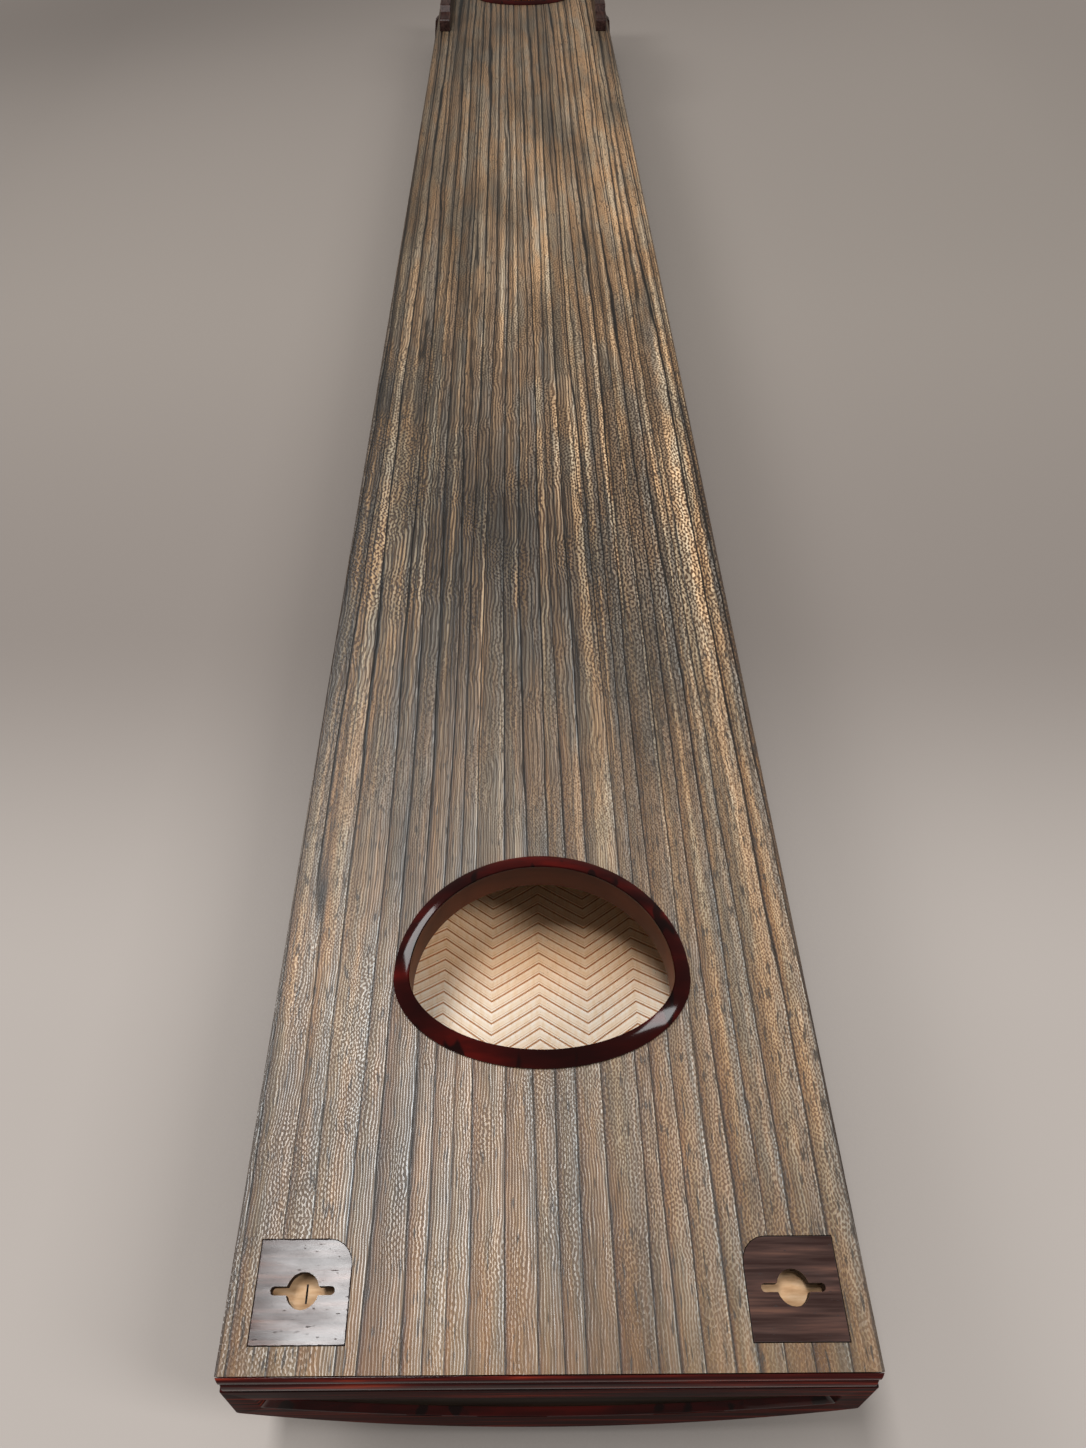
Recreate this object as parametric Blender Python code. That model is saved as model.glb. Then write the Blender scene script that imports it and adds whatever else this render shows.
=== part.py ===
"""A koto, the long zither of thirteen strings, lying on its deck with its flat back up.

The body is a deck of paulownia, arched outside and hollowed inside, which a flat back board closes.
Rosewood edges both ends and both sound holes, and inlaid rosewood plates hold the front legs when they
are put on. Two arched ridges on the deck carry the strings, and the koto lies on them here.

X runs across, Y from the head to the tail and Z up, in metres. The origin is under the middle of the
body, on the surface that the ridges stand on.
"""

import math

import bmesh
import bpy
from mathutils import Matrix, Vector

# The body
BODY_LENGTH = 1.820
HEAD_WIDTH = 0.245
TAPER = 0.005
BODY_DEPTH = 0.080
ARCH_RADIUS = 0.250
SIDE_LEAN = 0.0015
SHOULDER_ROUND = 0.0025
DECK_WALL = 0.014
SIDE_WALL = 0.015
BOARD_THICKNESS = 0.009
SEAM = 0.0003
ARCH_FACETS = 21

# Plates that stand across the hollow
BULKHEAD_THICKNESS = 0.012
BRACE_THICKNESS = 0.010
BRACE_COUNT = 3
BRACE_RIB = 0.014
BRACE_WINDOW_SIDE = 0.0125
BRACE_WINDOW_ROUND = 0.006
BRACE_FACETS = 9

# Sound holes, as the outline of their raised rims
HOLE_HALF_WIDTH = 0.0692
HOLE_TOWARDS_HEAD = 0.0433
HOLE_TOWARDS_TAIL = 0.0635
HEAD_HOLE_FROM_HEAD = 0.1530
TAIL_HOLE_FROM_TAIL = 0.1270
RIM_WIDTH = 0.0077
RIM_RISE = 0.0040
RIM_EDGE = 0.0008
RIM_CREST_INSET = 0.0045
RIM_CREST_ROUND = 0.0060
RIM_MOUTH_ROUND = 0.0016
COLLAR_WALL = 0.0030
COLLAR_DEPTH = 0.0153
HOLE_STEPS = 56

# Plates and sockets of the front legs
PLATE_FROM_SIDE = 0.0105
PLATE_WIDTH = 0.0360
PLATE_FROM_HEAD = 0.0093
PLATE_LENGTH = 0.0349
PLATE_CORNER = 0.0095
PLATE_THICKNESS = 0.0045
KEY_ROUND = 0.0063
KEY_SLOT_LENGTH = 0.0248
KEY_SLOT_WIDTH = 0.0030
KEY_FROM_PLATE_END = 0.0175
KEY_ROUND_STEPS = 10
KEY_SLOT_STEPS = 6
POCKET_MARGIN = 0.0008
BLOCK_MARGIN = 0.0020
BLOCK_HEIGHT = 0.012
SLIT_LENGTH = 0.0052
SLIT_WIDTH = 0.0009
SLIT_DEPTH = 0.0015

# End frames, their bead mouldings and the panels in their mouths
MOULDING_HEIGHT = 0.0100
UPPER_BEAD = 0.0020
LOWER_BEAD = 0.0028
LOWER_BEAD_REACH = 0.0040
BEAD_STEPS = 6
BEAD_SMOOTH_ANGLE = 50
FRAME_TOP_REACH = 0.0042
FRAME_FOOT_REACH = 0.0135
MOUTH_FROM_SIDE = 0.0105
MOUTH_TOP = 0.024
MOUTH_END_HEIGHT = 0.014
MOUTH_MIDDLE_HEIGHT = 0.035
MOUTH_CORNER = 0.002
MOUTH_COVE = 0.003
MOUTH_COVE_DEPTH = 0.0028
MOUTH_STEPS = 16
PANEL_THICKNESS = 0.0022

# Ridges on the deck, each with a crest strip that the strings cross
RIDGE_HEIGHT = 0.015
RIDGE_BASE = 0.020
RIDGE_TOP = 0.006
CREST_HEIGHT = 0.003
CREST_WIDTH = 0.004
CREST_FLAT = 0.052
NOTCH_FLOOR = 0.7
RIDGE_FROM_SIDE = 0.0085
HEAD_RIDGE_FROM_HEAD = 0.115
TAIL_RIDGE_FROM_TAIL = 0.190
EAR_TOP = 0.006
EAR_SHOULDER = 0.012
EAR_TOP_REACH = 0.0065
EAR_REACH = 0.0105
EAR_LENGTH = 0.014
EAR_ROOT = 0.015
EAR_THICKNESS = 0.009
EAR_UNDER_ROUND = 0.006
EAR_SIDE_ROUND = 0.004
EAR_TIP_ROUND = 0.002
EAR_SEAT_STEPS = 3

# Strings
STRING_COUNT = 13
STRING_DIAMETER = 0.0016
STRING_HOLE = 0.0034
STRING_HOLE_SIDES = 8
STRING_CLEARANCE = 0.0003
HEAD_CREST_MARGIN = 0.0087
TAIL_CREST_MARGIN = 0.0140
HOLES_FROM_RIDGE = 0.023
HOLE_BEND = 0.0014
CREST_BREAK = 0.0016
CREST_BREAK_DROP = 0.0012
KNOT_DROP = 0.006
KNOT_LENGTH = 0.0048
# A knot's profile, as shares of its length from the deck and widths in string diameters
KNOT_PROFILE = ((1.0, 0.6), (0.7, 3.0), (0.2, 3.0), (0.0, 1.0))

# Leaf-shaped plate over the tail of the deck
LEAF_THICKNESS = 0.0025
LEAF_LENGTH = 0.118
LEAF_FROM_SIDE = 0.012
LEAF_LOBES = 5
LEAF_LOBE_STEPS = 6
LEAF_NOTCH = 0.012
LEAF_SWEEP = 0.020

# Feet under the tail
FOOT_FROM_SIDE = 0.0052
FOOT_WIDTH = 0.014
FOOT_FROM_TAIL = 0.080
FOOT_LENGTH = 0.210
FOOT_HEIGHT = 0.022
FOOT_TOE = 0.014
FOOT_STEP = 0.028
FOOT_ROUND = 0.004

BACK_Z = RIDGE_HEIGHT + BODY_DEPTH
ARCH_Z = RIDGE_HEIGHT + ARCH_RADIUS
SEAT_Z = BACK_Z - BOARD_THICKNESS - SEAM
INNER_RADIUS = ARCH_RADIUS - DECK_WALL

SCORCHED_WOOD = ("scorched_paulownia", (0.33, 0.25, 0.17), 0.55, 0.0)
RAW_WOOD = ("raw_paulownia", (0.74, 0.60, 0.42), 0.70, 0.0)
RED_ROSEWOOD = ("red_rosewood", (0.13, 0.02, 0.015), 0.18, 0.0)
PLATE_ROSEWOOD = ("plate_rosewood", (0.14, 0.07, 0.065), 0.32, 0.0)
DARK_ROSEWOOD = ("dark_rosewood", (0.09, 0.045, 0.04), 0.30, 0.0)
PANEL_LACQUER = ("panel_lacquer", (0.06, 0.035, 0.03), 0.22, 0.0)
CREST_IVORY = ("crest_ivory", (0.86, 0.81, 0.68), 0.35, 0.0)
STRING_WHITE = ("string_white", (0.88, 0.84, 0.72), 0.45, 0.0)


def from_head(distance):
    """The Y of a point at this distance from the head end of the body."""
    return distance - BODY_LENGTH / 2


def from_tail(distance):
    """The Y of a point at this distance from the tail end of the body."""
    return BODY_LENGTH / 2 - distance


def half_width(y):
    """Half the body's width at its back, which narrows evenly from head to tail."""
    share = (y + BODY_LENGTH / 2) / BODY_LENGTH
    return (HEAD_WIDTH - TAPER * share) / 2


def arch_z(x, radius):
    """The height of an arc of this radius about the arch's axis, under a point at this X."""
    return ARCH_Z - math.sqrt(radius * radius - x * x)


def arch_points(half_span, radius, facets=ARCH_FACETS):
    """Points of such an arc from +X to -X."""
    reach = math.asin(half_span / radius)
    angles = [reach * (1 - 2 * i / facets) for i in range(facets + 1)]
    return [(radius * math.sin(a), ARCH_Z - radius * math.cos(a)) for a in angles]


def arc(centre, radius, start, end, steps):
    """Points of an arc about a centre, from one angle to another in degrees."""
    turns = [math.radians(start + (end - start) * step / steps) for step in range(steps + 1)]
    return [(centre[0] + radius * math.cos(a), centre[1] + radius * math.sin(a)) for a in turns]


def rounded(corners, steps=5):
    """An outline with its corners (x, y, radius) rounded by arcs, where the radius isn't 0."""
    points = []
    for i, (x, y, radius) in enumerate(corners):
        here = Vector((x, y))
        before = Vector(corners[i - 1][:2]) - here
        after = Vector(corners[(i + 1) % len(corners)][:2]) - here
        if radius == 0:
            points.append((x, y))
            continue
        before.normalize()
        after.normalize()
        half_angle = before.angle(after) / 2
        middle = (before + after).normalized()
        centre = here + middle * (radius / math.sin(half_angle))
        start = here + before * (radius / math.tan(half_angle)) - centre
        end = here + after * (radius / math.tan(half_angle)) - centre
        turn = start.angle_signed(end)
        for step in range(steps + 1):
            spoke = start.copy()
            spoke.rotate(Matrix.Rotation(-turn * step / steps, 2))
            points.append(tuple(centre + spoke))
    return points


def plain(corners):
    """Corners without rounding, in the form that rounded() takes."""
    return [(x, y, 0) for x, y in corners]


def material(look):
    """The material of this name, colour, roughness and metallic value."""
    name, colour, roughness, metallic = look
    made = bpy.data.materials.get(name)
    if made is None:
        made = bpy.data.materials.new(name)
        made.use_nodes = True
        shader = made.node_tree.nodes["Principled BSDF"]
        shader.inputs["Base Color"].default_value = (*colour, 1)
        shader.inputs["Roughness"].default_value = roughness
        shader.inputs["Metallic"].default_value = metallic
        made.diffuse_color = (*colour, 1)
    return made


def collection(name):
    """The collection of this name, made on its first use."""
    made = bpy.data.collections.get(name)
    if made is None:
        made = bpy.data.collections.new(name)
        bpy.context.scene.collection.children.link(made)
    return made


def add_object(name, data, look, group="koto"):
    """A new object with this mesh or curve and look, in its collection."""
    made = bpy.data.objects.new(name, data)
    collection(group).objects.link(made)
    if look is not None:
        data.materials.clear()
        data.materials.append(material(look))
    return made


def add_shape(name, mesh_builder, look, group="koto"):
    """An object whose mesh is what the bmesh holds, with its faces turned outwards."""
    bmesh.ops.recalc_face_normals(mesh_builder, faces=mesh_builder.faces)
    mesh = bpy.data.meshes.new(name)
    mesh_builder.to_mesh(mesh)
    mesh_builder.free()
    return add_object(name, mesh, look, group)


def smooth(shape, degrees=35):
    """Shades a shape smooth, but for edges sharper than this."""
    shape.data.shade_smooth()
    shape.data.set_sharp_from_angle(angle=math.radians(degrees))
    return shape


def slab(name, outlines, thickness, look, placed=None, group="koto"):
    """A flat piece: outlines in its own XY plane, the first with the others cut out of it."""
    curve = bpy.data.curves.new(name, "CURVE")
    curve.dimensions = "2D"
    curve.fill_mode = "BOTH"
    curve.extrude = thickness / 2
    for outline in outlines:
        spline = curve.splines.new("POLY")
        spline.points.add(len(outline) - 1)
        spline.use_cyclic_u = True
        for point, (x, y) in zip(spline.points, outline):
            point.co = (x, y, 0, 1)
    drawn = bpy.data.objects.new(name + "_outline", curve)
    bpy.context.scene.collection.objects.link(drawn)
    bpy.context.view_layer.update()
    evaluated = drawn.evaluated_get(bpy.context.evaluated_depsgraph_get())
    mesh = bpy.data.meshes.new_from_object(evaluated)
    mesh.name = name
    bpy.data.objects.remove(drawn)
    bpy.data.curves.remove(curve)
    builder = bmesh.new()
    builder.from_mesh(mesh)
    bmesh.ops.remove_doubles(builder, verts=builder.verts, dist=1e-6)
    bmesh.ops.recalc_face_normals(builder, faces=builder.faces)
    if placed is not None:
        builder.transform(placed)
    builder.to_mesh(mesh)
    builder.free()
    return add_object(name, mesh, look, group)


def facing_head(y):
    """Stands an outline of (across, height) up at this Y, facing the head."""
    return Matrix.Translation((0, y, 0)) @ Matrix.Rotation(math.radians(90), 4, "X")


def facing_side(x):
    """Stands an outline of (along, height) up at this X."""
    return Matrix.Translation((x, 0, 0)) @ Matrix(((0, 0, 1, 0), (1, 0, 0, 0), (0, 1, 0, 0), (0, 0, 0, 1)))


def lying(z):
    """Lays an outline of (across, along) down at this height."""
    return Matrix.Translation((0, 0, z))


def loft(name, sections, look, group="koto"):
    """A body through sections of equally many points, each a list of (x, y, z), closed at its ends."""
    builder = bmesh.new()
    rings = [[builder.verts.new(point) for point in section] for section in sections]
    for near, far in zip(rings, rings[1:]):
        for i in range(len(near)):
            j = (i + 1) % len(near)
            builder.faces.new((near[i], near[j], far[j], far[i]))
    builder.faces.new(rings[0])
    builder.faces.new(rings[-1])
    return add_shape(name, builder, look, group)


def arched_bar(name, profile, half_span, look):
    """A bar over the deck: a profile of (y, radius) turned about the arch's axis."""
    reach = math.asin(half_span / ARCH_RADIUS)
    builder = bmesh.new()
    corners = [builder.verts.new(on_arch(reach, y, radius)) for y, radius in profile]
    face = builder.faces.new(corners)
    bmesh.ops.spin(
        builder,
        geom=[face],
        cent=(0, 0, ARCH_Z),
        axis=(0, 1, 0),
        angle=2 * reach,
        steps=ARCH_FACETS,
        use_duplicate=False,
    )
    return add_shape(name, builder, look)


def cut(shape, cutter, operation="DIFFERENCE"):
    """Cuts a shape by a guide, or joins the guide to it."""
    collection("cutters")
    cutter.hide_render = True
    cutter.display_type = "WIRE"
    boolean = shape.modifiers.new(cutter.name, "BOOLEAN")
    boolean.operation = operation
    boolean.object = cutter


def body_section(y, top_z):
    """The body's outline (x, z) at this Y, from the back down over the shoulders."""
    back = half_width(y)
    arc = arch_points(back + SIDE_LEAN, ARCH_RADIUS)
    corners = [(back, top_z, 0), (*arc[0], SHOULDER_ROUND)]
    corners += plain(arc[1:-1])
    corners += [(*arc[-1], SHOULDER_ROUND), (-back, top_z, 0)]
    return rounded(corners)


def hollow_section(y, top_z, clearance=0.0):
    """The outline (x, z) of the hollow at this Y, or of a plate in it with this clearance."""
    half = half_width(y) - SIDE_WALL - clearance
    arc = arch_points(half, INNER_RADIUS - clearance)
    return [(half, top_z)] + arc + [(-half, top_z)]


def make_deck():
    """The arched deck with its sides: one length of wood, hollowed from the back."""
    sections = []
    for y in (from_head(0), from_tail(0)):
        outline = body_section(y, SEAT_Z)
        hollow = hollow_section(y, SEAT_Z)
        sections.append([(x, y, z) for x, z in outline + hollow[::-1]])
    deck = loft("deck_shell", sections, SCORCHED_WOOD)
    for group, (ridge_y, side) in enumerate(string_ridges()):
        for number in range(STRING_COUNT):
            cut(deck, string_hole_cutter(f"string_hole_{group}_{number}", number, ridge_y, side))
    return smooth(deck)


def string_ridges():
    """Each ridge's Y, and the side that its string holes lie on."""
    return (from_head(HEAD_RIDGE_FROM_HEAD), -1), (from_tail(TAIL_RIDGE_FROM_TAIL), 1)


def string_angle(number, ridge_y):
    """How far round the arch a string lies where it crosses the ridge at this Y."""
    margin = HEAD_CREST_MARGIN if ridge_y < 0 else TAIL_CREST_MARGIN
    outermost = crest_half_span(ridge_y) - margin
    across = outermost * (2 * number / (STRING_COUNT - 1) - 1)
    return math.asin(across / (ARCH_RADIUS + RIDGE_HEIGHT))


def on_arch(angle, y, radius):
    """The point at this angle, Y and radius about the arch's axis."""
    return Vector((radius * math.sin(angle), y, ARCH_Z - radius * math.cos(angle)))


def string_hole_cutter(name, number, ridge_y, side):
    """A guide for the hole that a string goes down, square to the deck."""
    angle = string_angle(number, ridge_y)
    builder = bmesh.new()
    bmesh.ops.create_cone(
        builder,
        cap_ends=True,
        segments=STRING_HOLE_SIDES,
        radius1=STRING_HOLE / 2,
        radius2=STRING_HOLE / 2,
        depth=DECK_WALL * 2,
    )
    centre = on_arch(angle, ridge_y + side * HOLES_FROM_RIDGE, ARCH_RADIUS - DECK_WALL / 2)
    builder.transform(Matrix.Translation(centre) @ Matrix.Rotation(-angle, 4, "Y"))
    return add_shape(name, builder, None, "cutters")


def hole_outline(centre_y, inset):
    """A sound hole's outline, blunt towards the head, moved in by the inset."""
    points = []
    for step in range(HOLE_STEPS):
        turn = 2 * math.pi * step / HOLE_STEPS
        reach = HOLE_TOWARDS_TAIL if math.sin(turn) > 0 else HOLE_TOWARDS_HEAD
        point = Vector((HOLE_HALF_WIDTH * math.cos(turn), reach * math.sin(turn)))
        outwards = Vector((math.cos(turn) / HOLE_HALF_WIDTH, math.sin(turn) / reach)).normalized()
        point -= outwards * inset
        points.append((point.x, centre_y + point.y))
    return points


def sound_holes():
    """Each sound hole's name and the Y of its widest line."""
    return ("head", from_head(HEAD_HOLE_FROM_HEAD)), ("tail", from_tail(TAIL_HOLE_FROM_TAIL))


def make_rim(name, centre_y):
    """A sound hole's rim: a raised lip over the board's edge and a collar down through the board."""
    collar = RIM_WIDTH - COLLAR_WALL
    profile = rounded(
        [
            (0, SEAM, 0),
            (0, SEAM + RIM_EDGE, 0),
            (RIM_CREST_INSET, RIM_RISE, RIM_CREST_ROUND),
            (RIM_WIDTH, RIM_RISE, RIM_MOUTH_ROUND),
            (RIM_WIDTH, -COLLAR_DEPTH, 0),
            (collar, -COLLAR_DEPTH, 0),
            (collar, SEAM, 0),
        ],
        steps=3,
    )
    builder = bmesh.new()
    rings = []
    for inset, rise in profile:
        ring = [builder.verts.new((x, y, BACK_Z + rise)) for x, y in hole_outline(centre_y, inset)]
        rings.append(ring)
    for inner, outer in zip(rings, rings[1:] + rings[:1]):
        for i in range(HOLE_STEPS):
            j = (i + 1) % HOLE_STEPS
            builder.faces.new((inner[i], inner[j], outer[j], outer[i]))
    return smooth(add_shape(name + "_sound_hole_rim", builder, RED_ROSEWOOD))


def plate_outline(side, grow=0.0):
    """A leg plate's outline, with the corner towards the middle and the tail rounded."""
    near = from_head(PLATE_FROM_HEAD) - grow
    far = from_head(PLATE_FROM_HEAD + PLATE_LENGTH) + grow
    outer = HEAD_WIDTH / 2 - PLATE_FROM_SIDE + grow
    inner = outer - PLATE_WIDTH - 2 * grow
    corners = rounded([(inner, near, 0), (outer, near, 0), (outer, far, 0), (inner, far, PLATE_CORNER + grow)])
    return [(side * x, y) for x, y in corners]


def key_centre():
    """The middle of a leg plate's keyhole on the +X side."""
    x = HEAD_WIDTH / 2 - PLATE_FROM_SIDE - PLATE_WIDTH / 2
    return x, from_head(PLATE_FROM_HEAD + KEY_FROM_PLATE_END)


def key_outline(side):
    """The keyhole: a round hole with a slot across it for the leg's cross-pin."""
    x, y = key_centre()
    slot = KEY_SLOT_WIDTH / 2
    arm = KEY_SLOT_LENGTH / 2 - slot
    half_turn = math.asin(slot / KEY_ROUND)
    points = []
    for start in (0, math.pi):
        for step in range(KEY_ROUND_STEPS + 1):
            turn = start + half_turn + (math.pi - 2 * half_turn) * step / KEY_ROUND_STEPS
            points.append((KEY_ROUND * math.cos(turn), KEY_ROUND * math.sin(turn)))
        for step in range(KEY_SLOT_STEPS + 1):
            turn = start + math.pi / 2 + math.pi * step / KEY_SLOT_STEPS
            tip = arm if start else -arm
            points.append((tip + slot * math.cos(turn), slot * math.sin(turn)))
    return [(side * (x + across), y + along) for across, along in points]


def round_outline(x, y, radius, steps=28):
    """A circle's outline."""
    turns = [2 * math.pi * step / steps for step in range(steps)]
    return [(x + radius * math.cos(a), y + radius * math.sin(a)) for a in turns]


def pocket_radius():
    """The radius of the pocket under a leg plate, in which the leg's cross-pin turns."""
    return KEY_SLOT_LENGTH / 2 + POCKET_MARGIN


def make_board():
    """The flat back board with its sound holes, plate recesses and pockets."""
    head, tail = from_head(0), from_tail(0)
    outline = [
        (half_width(head), head),
        (half_width(tail), tail),
        (-half_width(tail), tail),
        (-half_width(head), head),
    ]
    holes = [hole_outline(y, RIM_WIDTH - COLLAR_WALL - SEAM) for name, y in sound_holes()]
    middle = lying(BACK_Z - BOARD_THICKNESS / 2)
    board = slab("back_board", [outline] + holes, BOARD_THICKNESS, SCORCHED_WOOD, middle)
    recess = PLATE_THICKNESS + SEAM
    x, y = key_centre()
    for name, side in (("left", -1), ("right", 1)):
        plate = [plate_outline(side, SEAM)]
        cut(board, slab(f"{name}_recess", plate, 2 * recess, None, lying(BACK_Z), "cutters"))
        pocket = [round_outline(side * x, y, pocket_radius())]
        depth = 3 * BOARD_THICKNESS
        cut(board, slab(f"{name}_pocket", pocket, depth, None, lying(BACK_Z), "cutters"))
    return board


def make_leg_sockets():
    """On each side the inlaid plate with its keyhole, and the raw block that closes the pocket."""
    x, y = key_centre()
    head_side = max(y - pocket_radius() - BLOCK_MARGIN, from_head(BULKHEAD_THICKNESS + 2 * SEAM))
    tail_side = y + pocket_radius() + BLOCK_MARGIN
    inner = x - pocket_radius() - BLOCK_MARGIN
    outer = half_width(tail_side) - SIDE_WALL - SEAM
    outline = [(inner, head_side), (outer, head_side), (outer, tail_side), (inner, tail_side)]
    for name, side in (("left", -1), ("right", 1)):
        plate = slab(
            f"{name}_leg_plate",
            [plate_outline(side), key_outline(side)],
            PLATE_THICKNESS,
            PLATE_ROSEWOOD,
            lying(BACK_Z - PLATE_THICKNESS / 2),
        )
        smooth(plate)
        block = slab(
            f"{name}_leg_block",
            [[(side * across, along) for across, along in outline]],
            BLOCK_HEIGHT,
            RAW_WOOD,
            lying(SEAT_Z - BLOCK_HEIGHT / 2),
        )
        if side < 0:
            slit = round_outline(0, 0, SLIT_LENGTH / 2, 4)
            slit = [(across * SLIT_WIDTH / SLIT_LENGTH - x, along + y) for across, along in slit]
            cut(block, slab("slit", [slit], 2 * SLIT_DEPTH, None, lying(SEAT_Z), "cutters"))


def brace_y(number):
    """The Y of a brace: they stand in the middles of equal stretches between the sound holes."""
    first = from_head(HEAD_HOLE_FROM_HEAD) + HOLE_TOWARDS_TAIL
    last = from_tail(TAIL_HOLE_FROM_TAIL) - HOLE_TOWARDS_HEAD
    return first + (last - first) * (number + 0.5) / BRACE_COUNT


def window_half_span(y):
    """How far a brace's window reaches from the middle, with room at its sides for their rounding."""
    foot = SEAT_Z - BRACE_RIB - BRACE_WINDOW_SIDE
    by_height = math.sqrt((INNER_RADIUS - BRACE_RIB) ** 2 - (ARCH_Z - foot) ** 2)
    return min(by_height, half_width(y) - SIDE_WALL - BRACE_RIB)


def make_plates_across():
    """The bulkheads at both ends of the hollow, and the open braces between them."""
    ends = (
        ("head_bulkhead", from_head(BULKHEAD_THICKNESS / 2)),
        ("tail_bulkhead", from_tail(BULKHEAD_THICKNESS / 2)),
    )
    for name, y in ends:
        outline = hollow_section(y + BULKHEAD_THICKNESS / 2, SEAT_Z - SEAM, SEAM)
        slab(name, [outline], BULKHEAD_THICKNESS, RAW_WOOD, facing_head(y))
    for number in range(BRACE_COUNT):
        y = brace_y(number)
        outline = hollow_section(y + BRACE_THICKNESS / 2, SEAT_Z - SEAM, SEAM)
        half = window_half_span(y)
        arc = arch_points(half, INNER_RADIUS - BRACE_RIB, BRACE_FACETS)
        top = SEAT_Z - BRACE_RIB
        corners = [(half, top, BRACE_WINDOW_ROUND), (*arc[0], BRACE_WINDOW_ROUND)]
        corners += plain(arc[1:-1])
        corners += [(*arc[-1], BRACE_WINDOW_ROUND), (-half, top, BRACE_WINDOW_ROUND)]
        name = f"cross_brace_{number + 1}"
        slab(name, [outline, rounded(corners)], BRACE_THICKNESS, RAW_WOOD, facing_head(y))


def mouth_outline(end_y, grow):
    """The opening of an end frame: straight above and arched below, in (across, down its face)."""
    half = half_width(end_y) - MOUTH_FROM_SIDE + grow
    end = MOUTH_TOP + MOUTH_END_HEIGHT + grow
    middle = MOUTH_TOP + MOUTH_MIDDLE_HEIGHT + grow
    drop = middle - end
    radius = (half * half + drop * drop) / (2 * drop)
    reach = math.degrees(math.asin(half / radius))
    bow = arc((0, middle - radius), radius, 90 - reach, 90 + reach, MOUTH_STEPS)
    corners = [(half, MOUTH_TOP - grow, MOUTH_CORNER), (*bow[0], MOUTH_CORNER)]
    corners += plain(bow[1:-1])
    corners += [(*bow[-1], MOUTH_CORNER), (-half, MOUTH_TOP - grow, MOUTH_CORNER)]
    return rounded(corners, 4)


def bead_profile():
    """The section (along, height) of an edge moulding: a small bead above a larger one."""
    upper = arc((-SEAM, BACK_Z - UPPER_BEAD), UPPER_BEAD, 90, 240, BEAD_STEPS)
    lower_y = LOWER_BEAD - LOWER_BEAD_REACH
    lower_z = BACK_Z - MOULDING_HEIGHT + LOWER_BEAD
    lower = arc((lower_y, lower_z), LOWER_BEAD, 120, 270, BEAD_STEPS)
    return upper + lower + [(-SEAM, BACK_Z - MOULDING_HEIGHT)]


def settle(piece, place):
    """Moves a piece's mesh to its place and turns its faces outwards."""
    piece.data.transform(place)
    builder = bmesh.new()
    builder.from_mesh(piece.data)
    bmesh.ops.recalc_face_normals(builder, faces=builder.faces)
    builder.to_mesh(piece.data)
    builder.free()


def make_end(name, y, turn):
    """An end of the body: bead mouldings on the board's edge, and a slanted frame with its panel."""
    place = Matrix.Translation((0, y, 0)) @ Matrix.Rotation(turn, 4, "Z")
    half = half_width(y)
    beads = bead_profile()
    sections = [[(x, along, z) for along, z in beads] for x in (half, -half)]
    moulding = loft(f"{name}_edge_moulding", sections, RED_ROSEWOOD)
    settle(moulding, place)
    smooth(moulding, BEAD_SMOOTH_ANGLE)

    frame_z = BACK_Z - MOULDING_HEIGHT - SEAM
    outline = body_section(y, frame_z)
    depth = 2 * FRAME_FOOT_REACH
    sections = [[(x, along, z) for x, z in outline] for along in (-SEAM, -depth)]
    frame = loft(f"{name}_end_frame", sections, RED_ROSEWOOD)
    settle(frame, place)
    slant = math.atan2(FRAME_FOOT_REACH - FRAME_TOP_REACH, frame_z - RIDGE_HEIGHT)
    face_y = (BACK_Z - frame_z) * math.tan(slant) - FRAME_TOP_REACH
    face = Matrix.Translation((0, face_y, BACK_Z)) @ Matrix.Rotation(math.pi / 2 - slant, 4, "X")
    down = place @ face @ Matrix.Diagonal((1, -1, 1, 1))
    top, foot = -BODY_DEPTH, 2 * BODY_DEPTH
    beyond = [(-HEAD_WIDTH, top), (HEAD_WIDTH, top), (HEAD_WIDTH, foot), (-HEAD_WIDTH, foot)]
    waste = slab(f"{name}_waste", [beyond], 2 * depth, None, lying(depth), "cutters")
    throat = [(0, depth), (0, 0), (MOUTH_COVE, -MOUTH_COVE_DEPTH), (MOUTH_COVE, -2 * depth)]
    sections = [[(*point, height) for point in mouth_outline(y, -inset)] for inset, height in throat]
    mouth = loft(f"{name}_mouth", sections, None, "cutters")
    panel_place = lying(-MOUTH_COVE_DEPTH - PANEL_THICKNESS / 2)
    panel_outline = [mouth_outline(y, -MOUTH_COVE - SEAM)]
    panel = slab(f"{name}_mouth_panel", panel_outline, PANEL_THICKNESS, PANEL_LACQUER, panel_place)
    for piece in (waste, mouth, panel):
        settle(piece, down)
    cut(frame, waste)
    cut(frame, mouth)
    smooth(frame)


def ridge_half_span(ridge_y):
    """How far a ridge reaches from the middle."""
    return half_width(ridge_y) - RIDGE_FROM_SIDE


def crest_half_span(ridge_y):
    """How far a ridge's crest strip reaches from the middle."""
    return ridge_half_span(ridge_y) - CREST_HEIGHT


def crest_z(x):
    """The height of a crest strip's outer edge: an arc, cut level at its middle."""
    return arch_z(max(abs(x), CREST_FLAT / 2), math.hypot(CREST_FLAT / 2, ARCH_Z))


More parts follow.
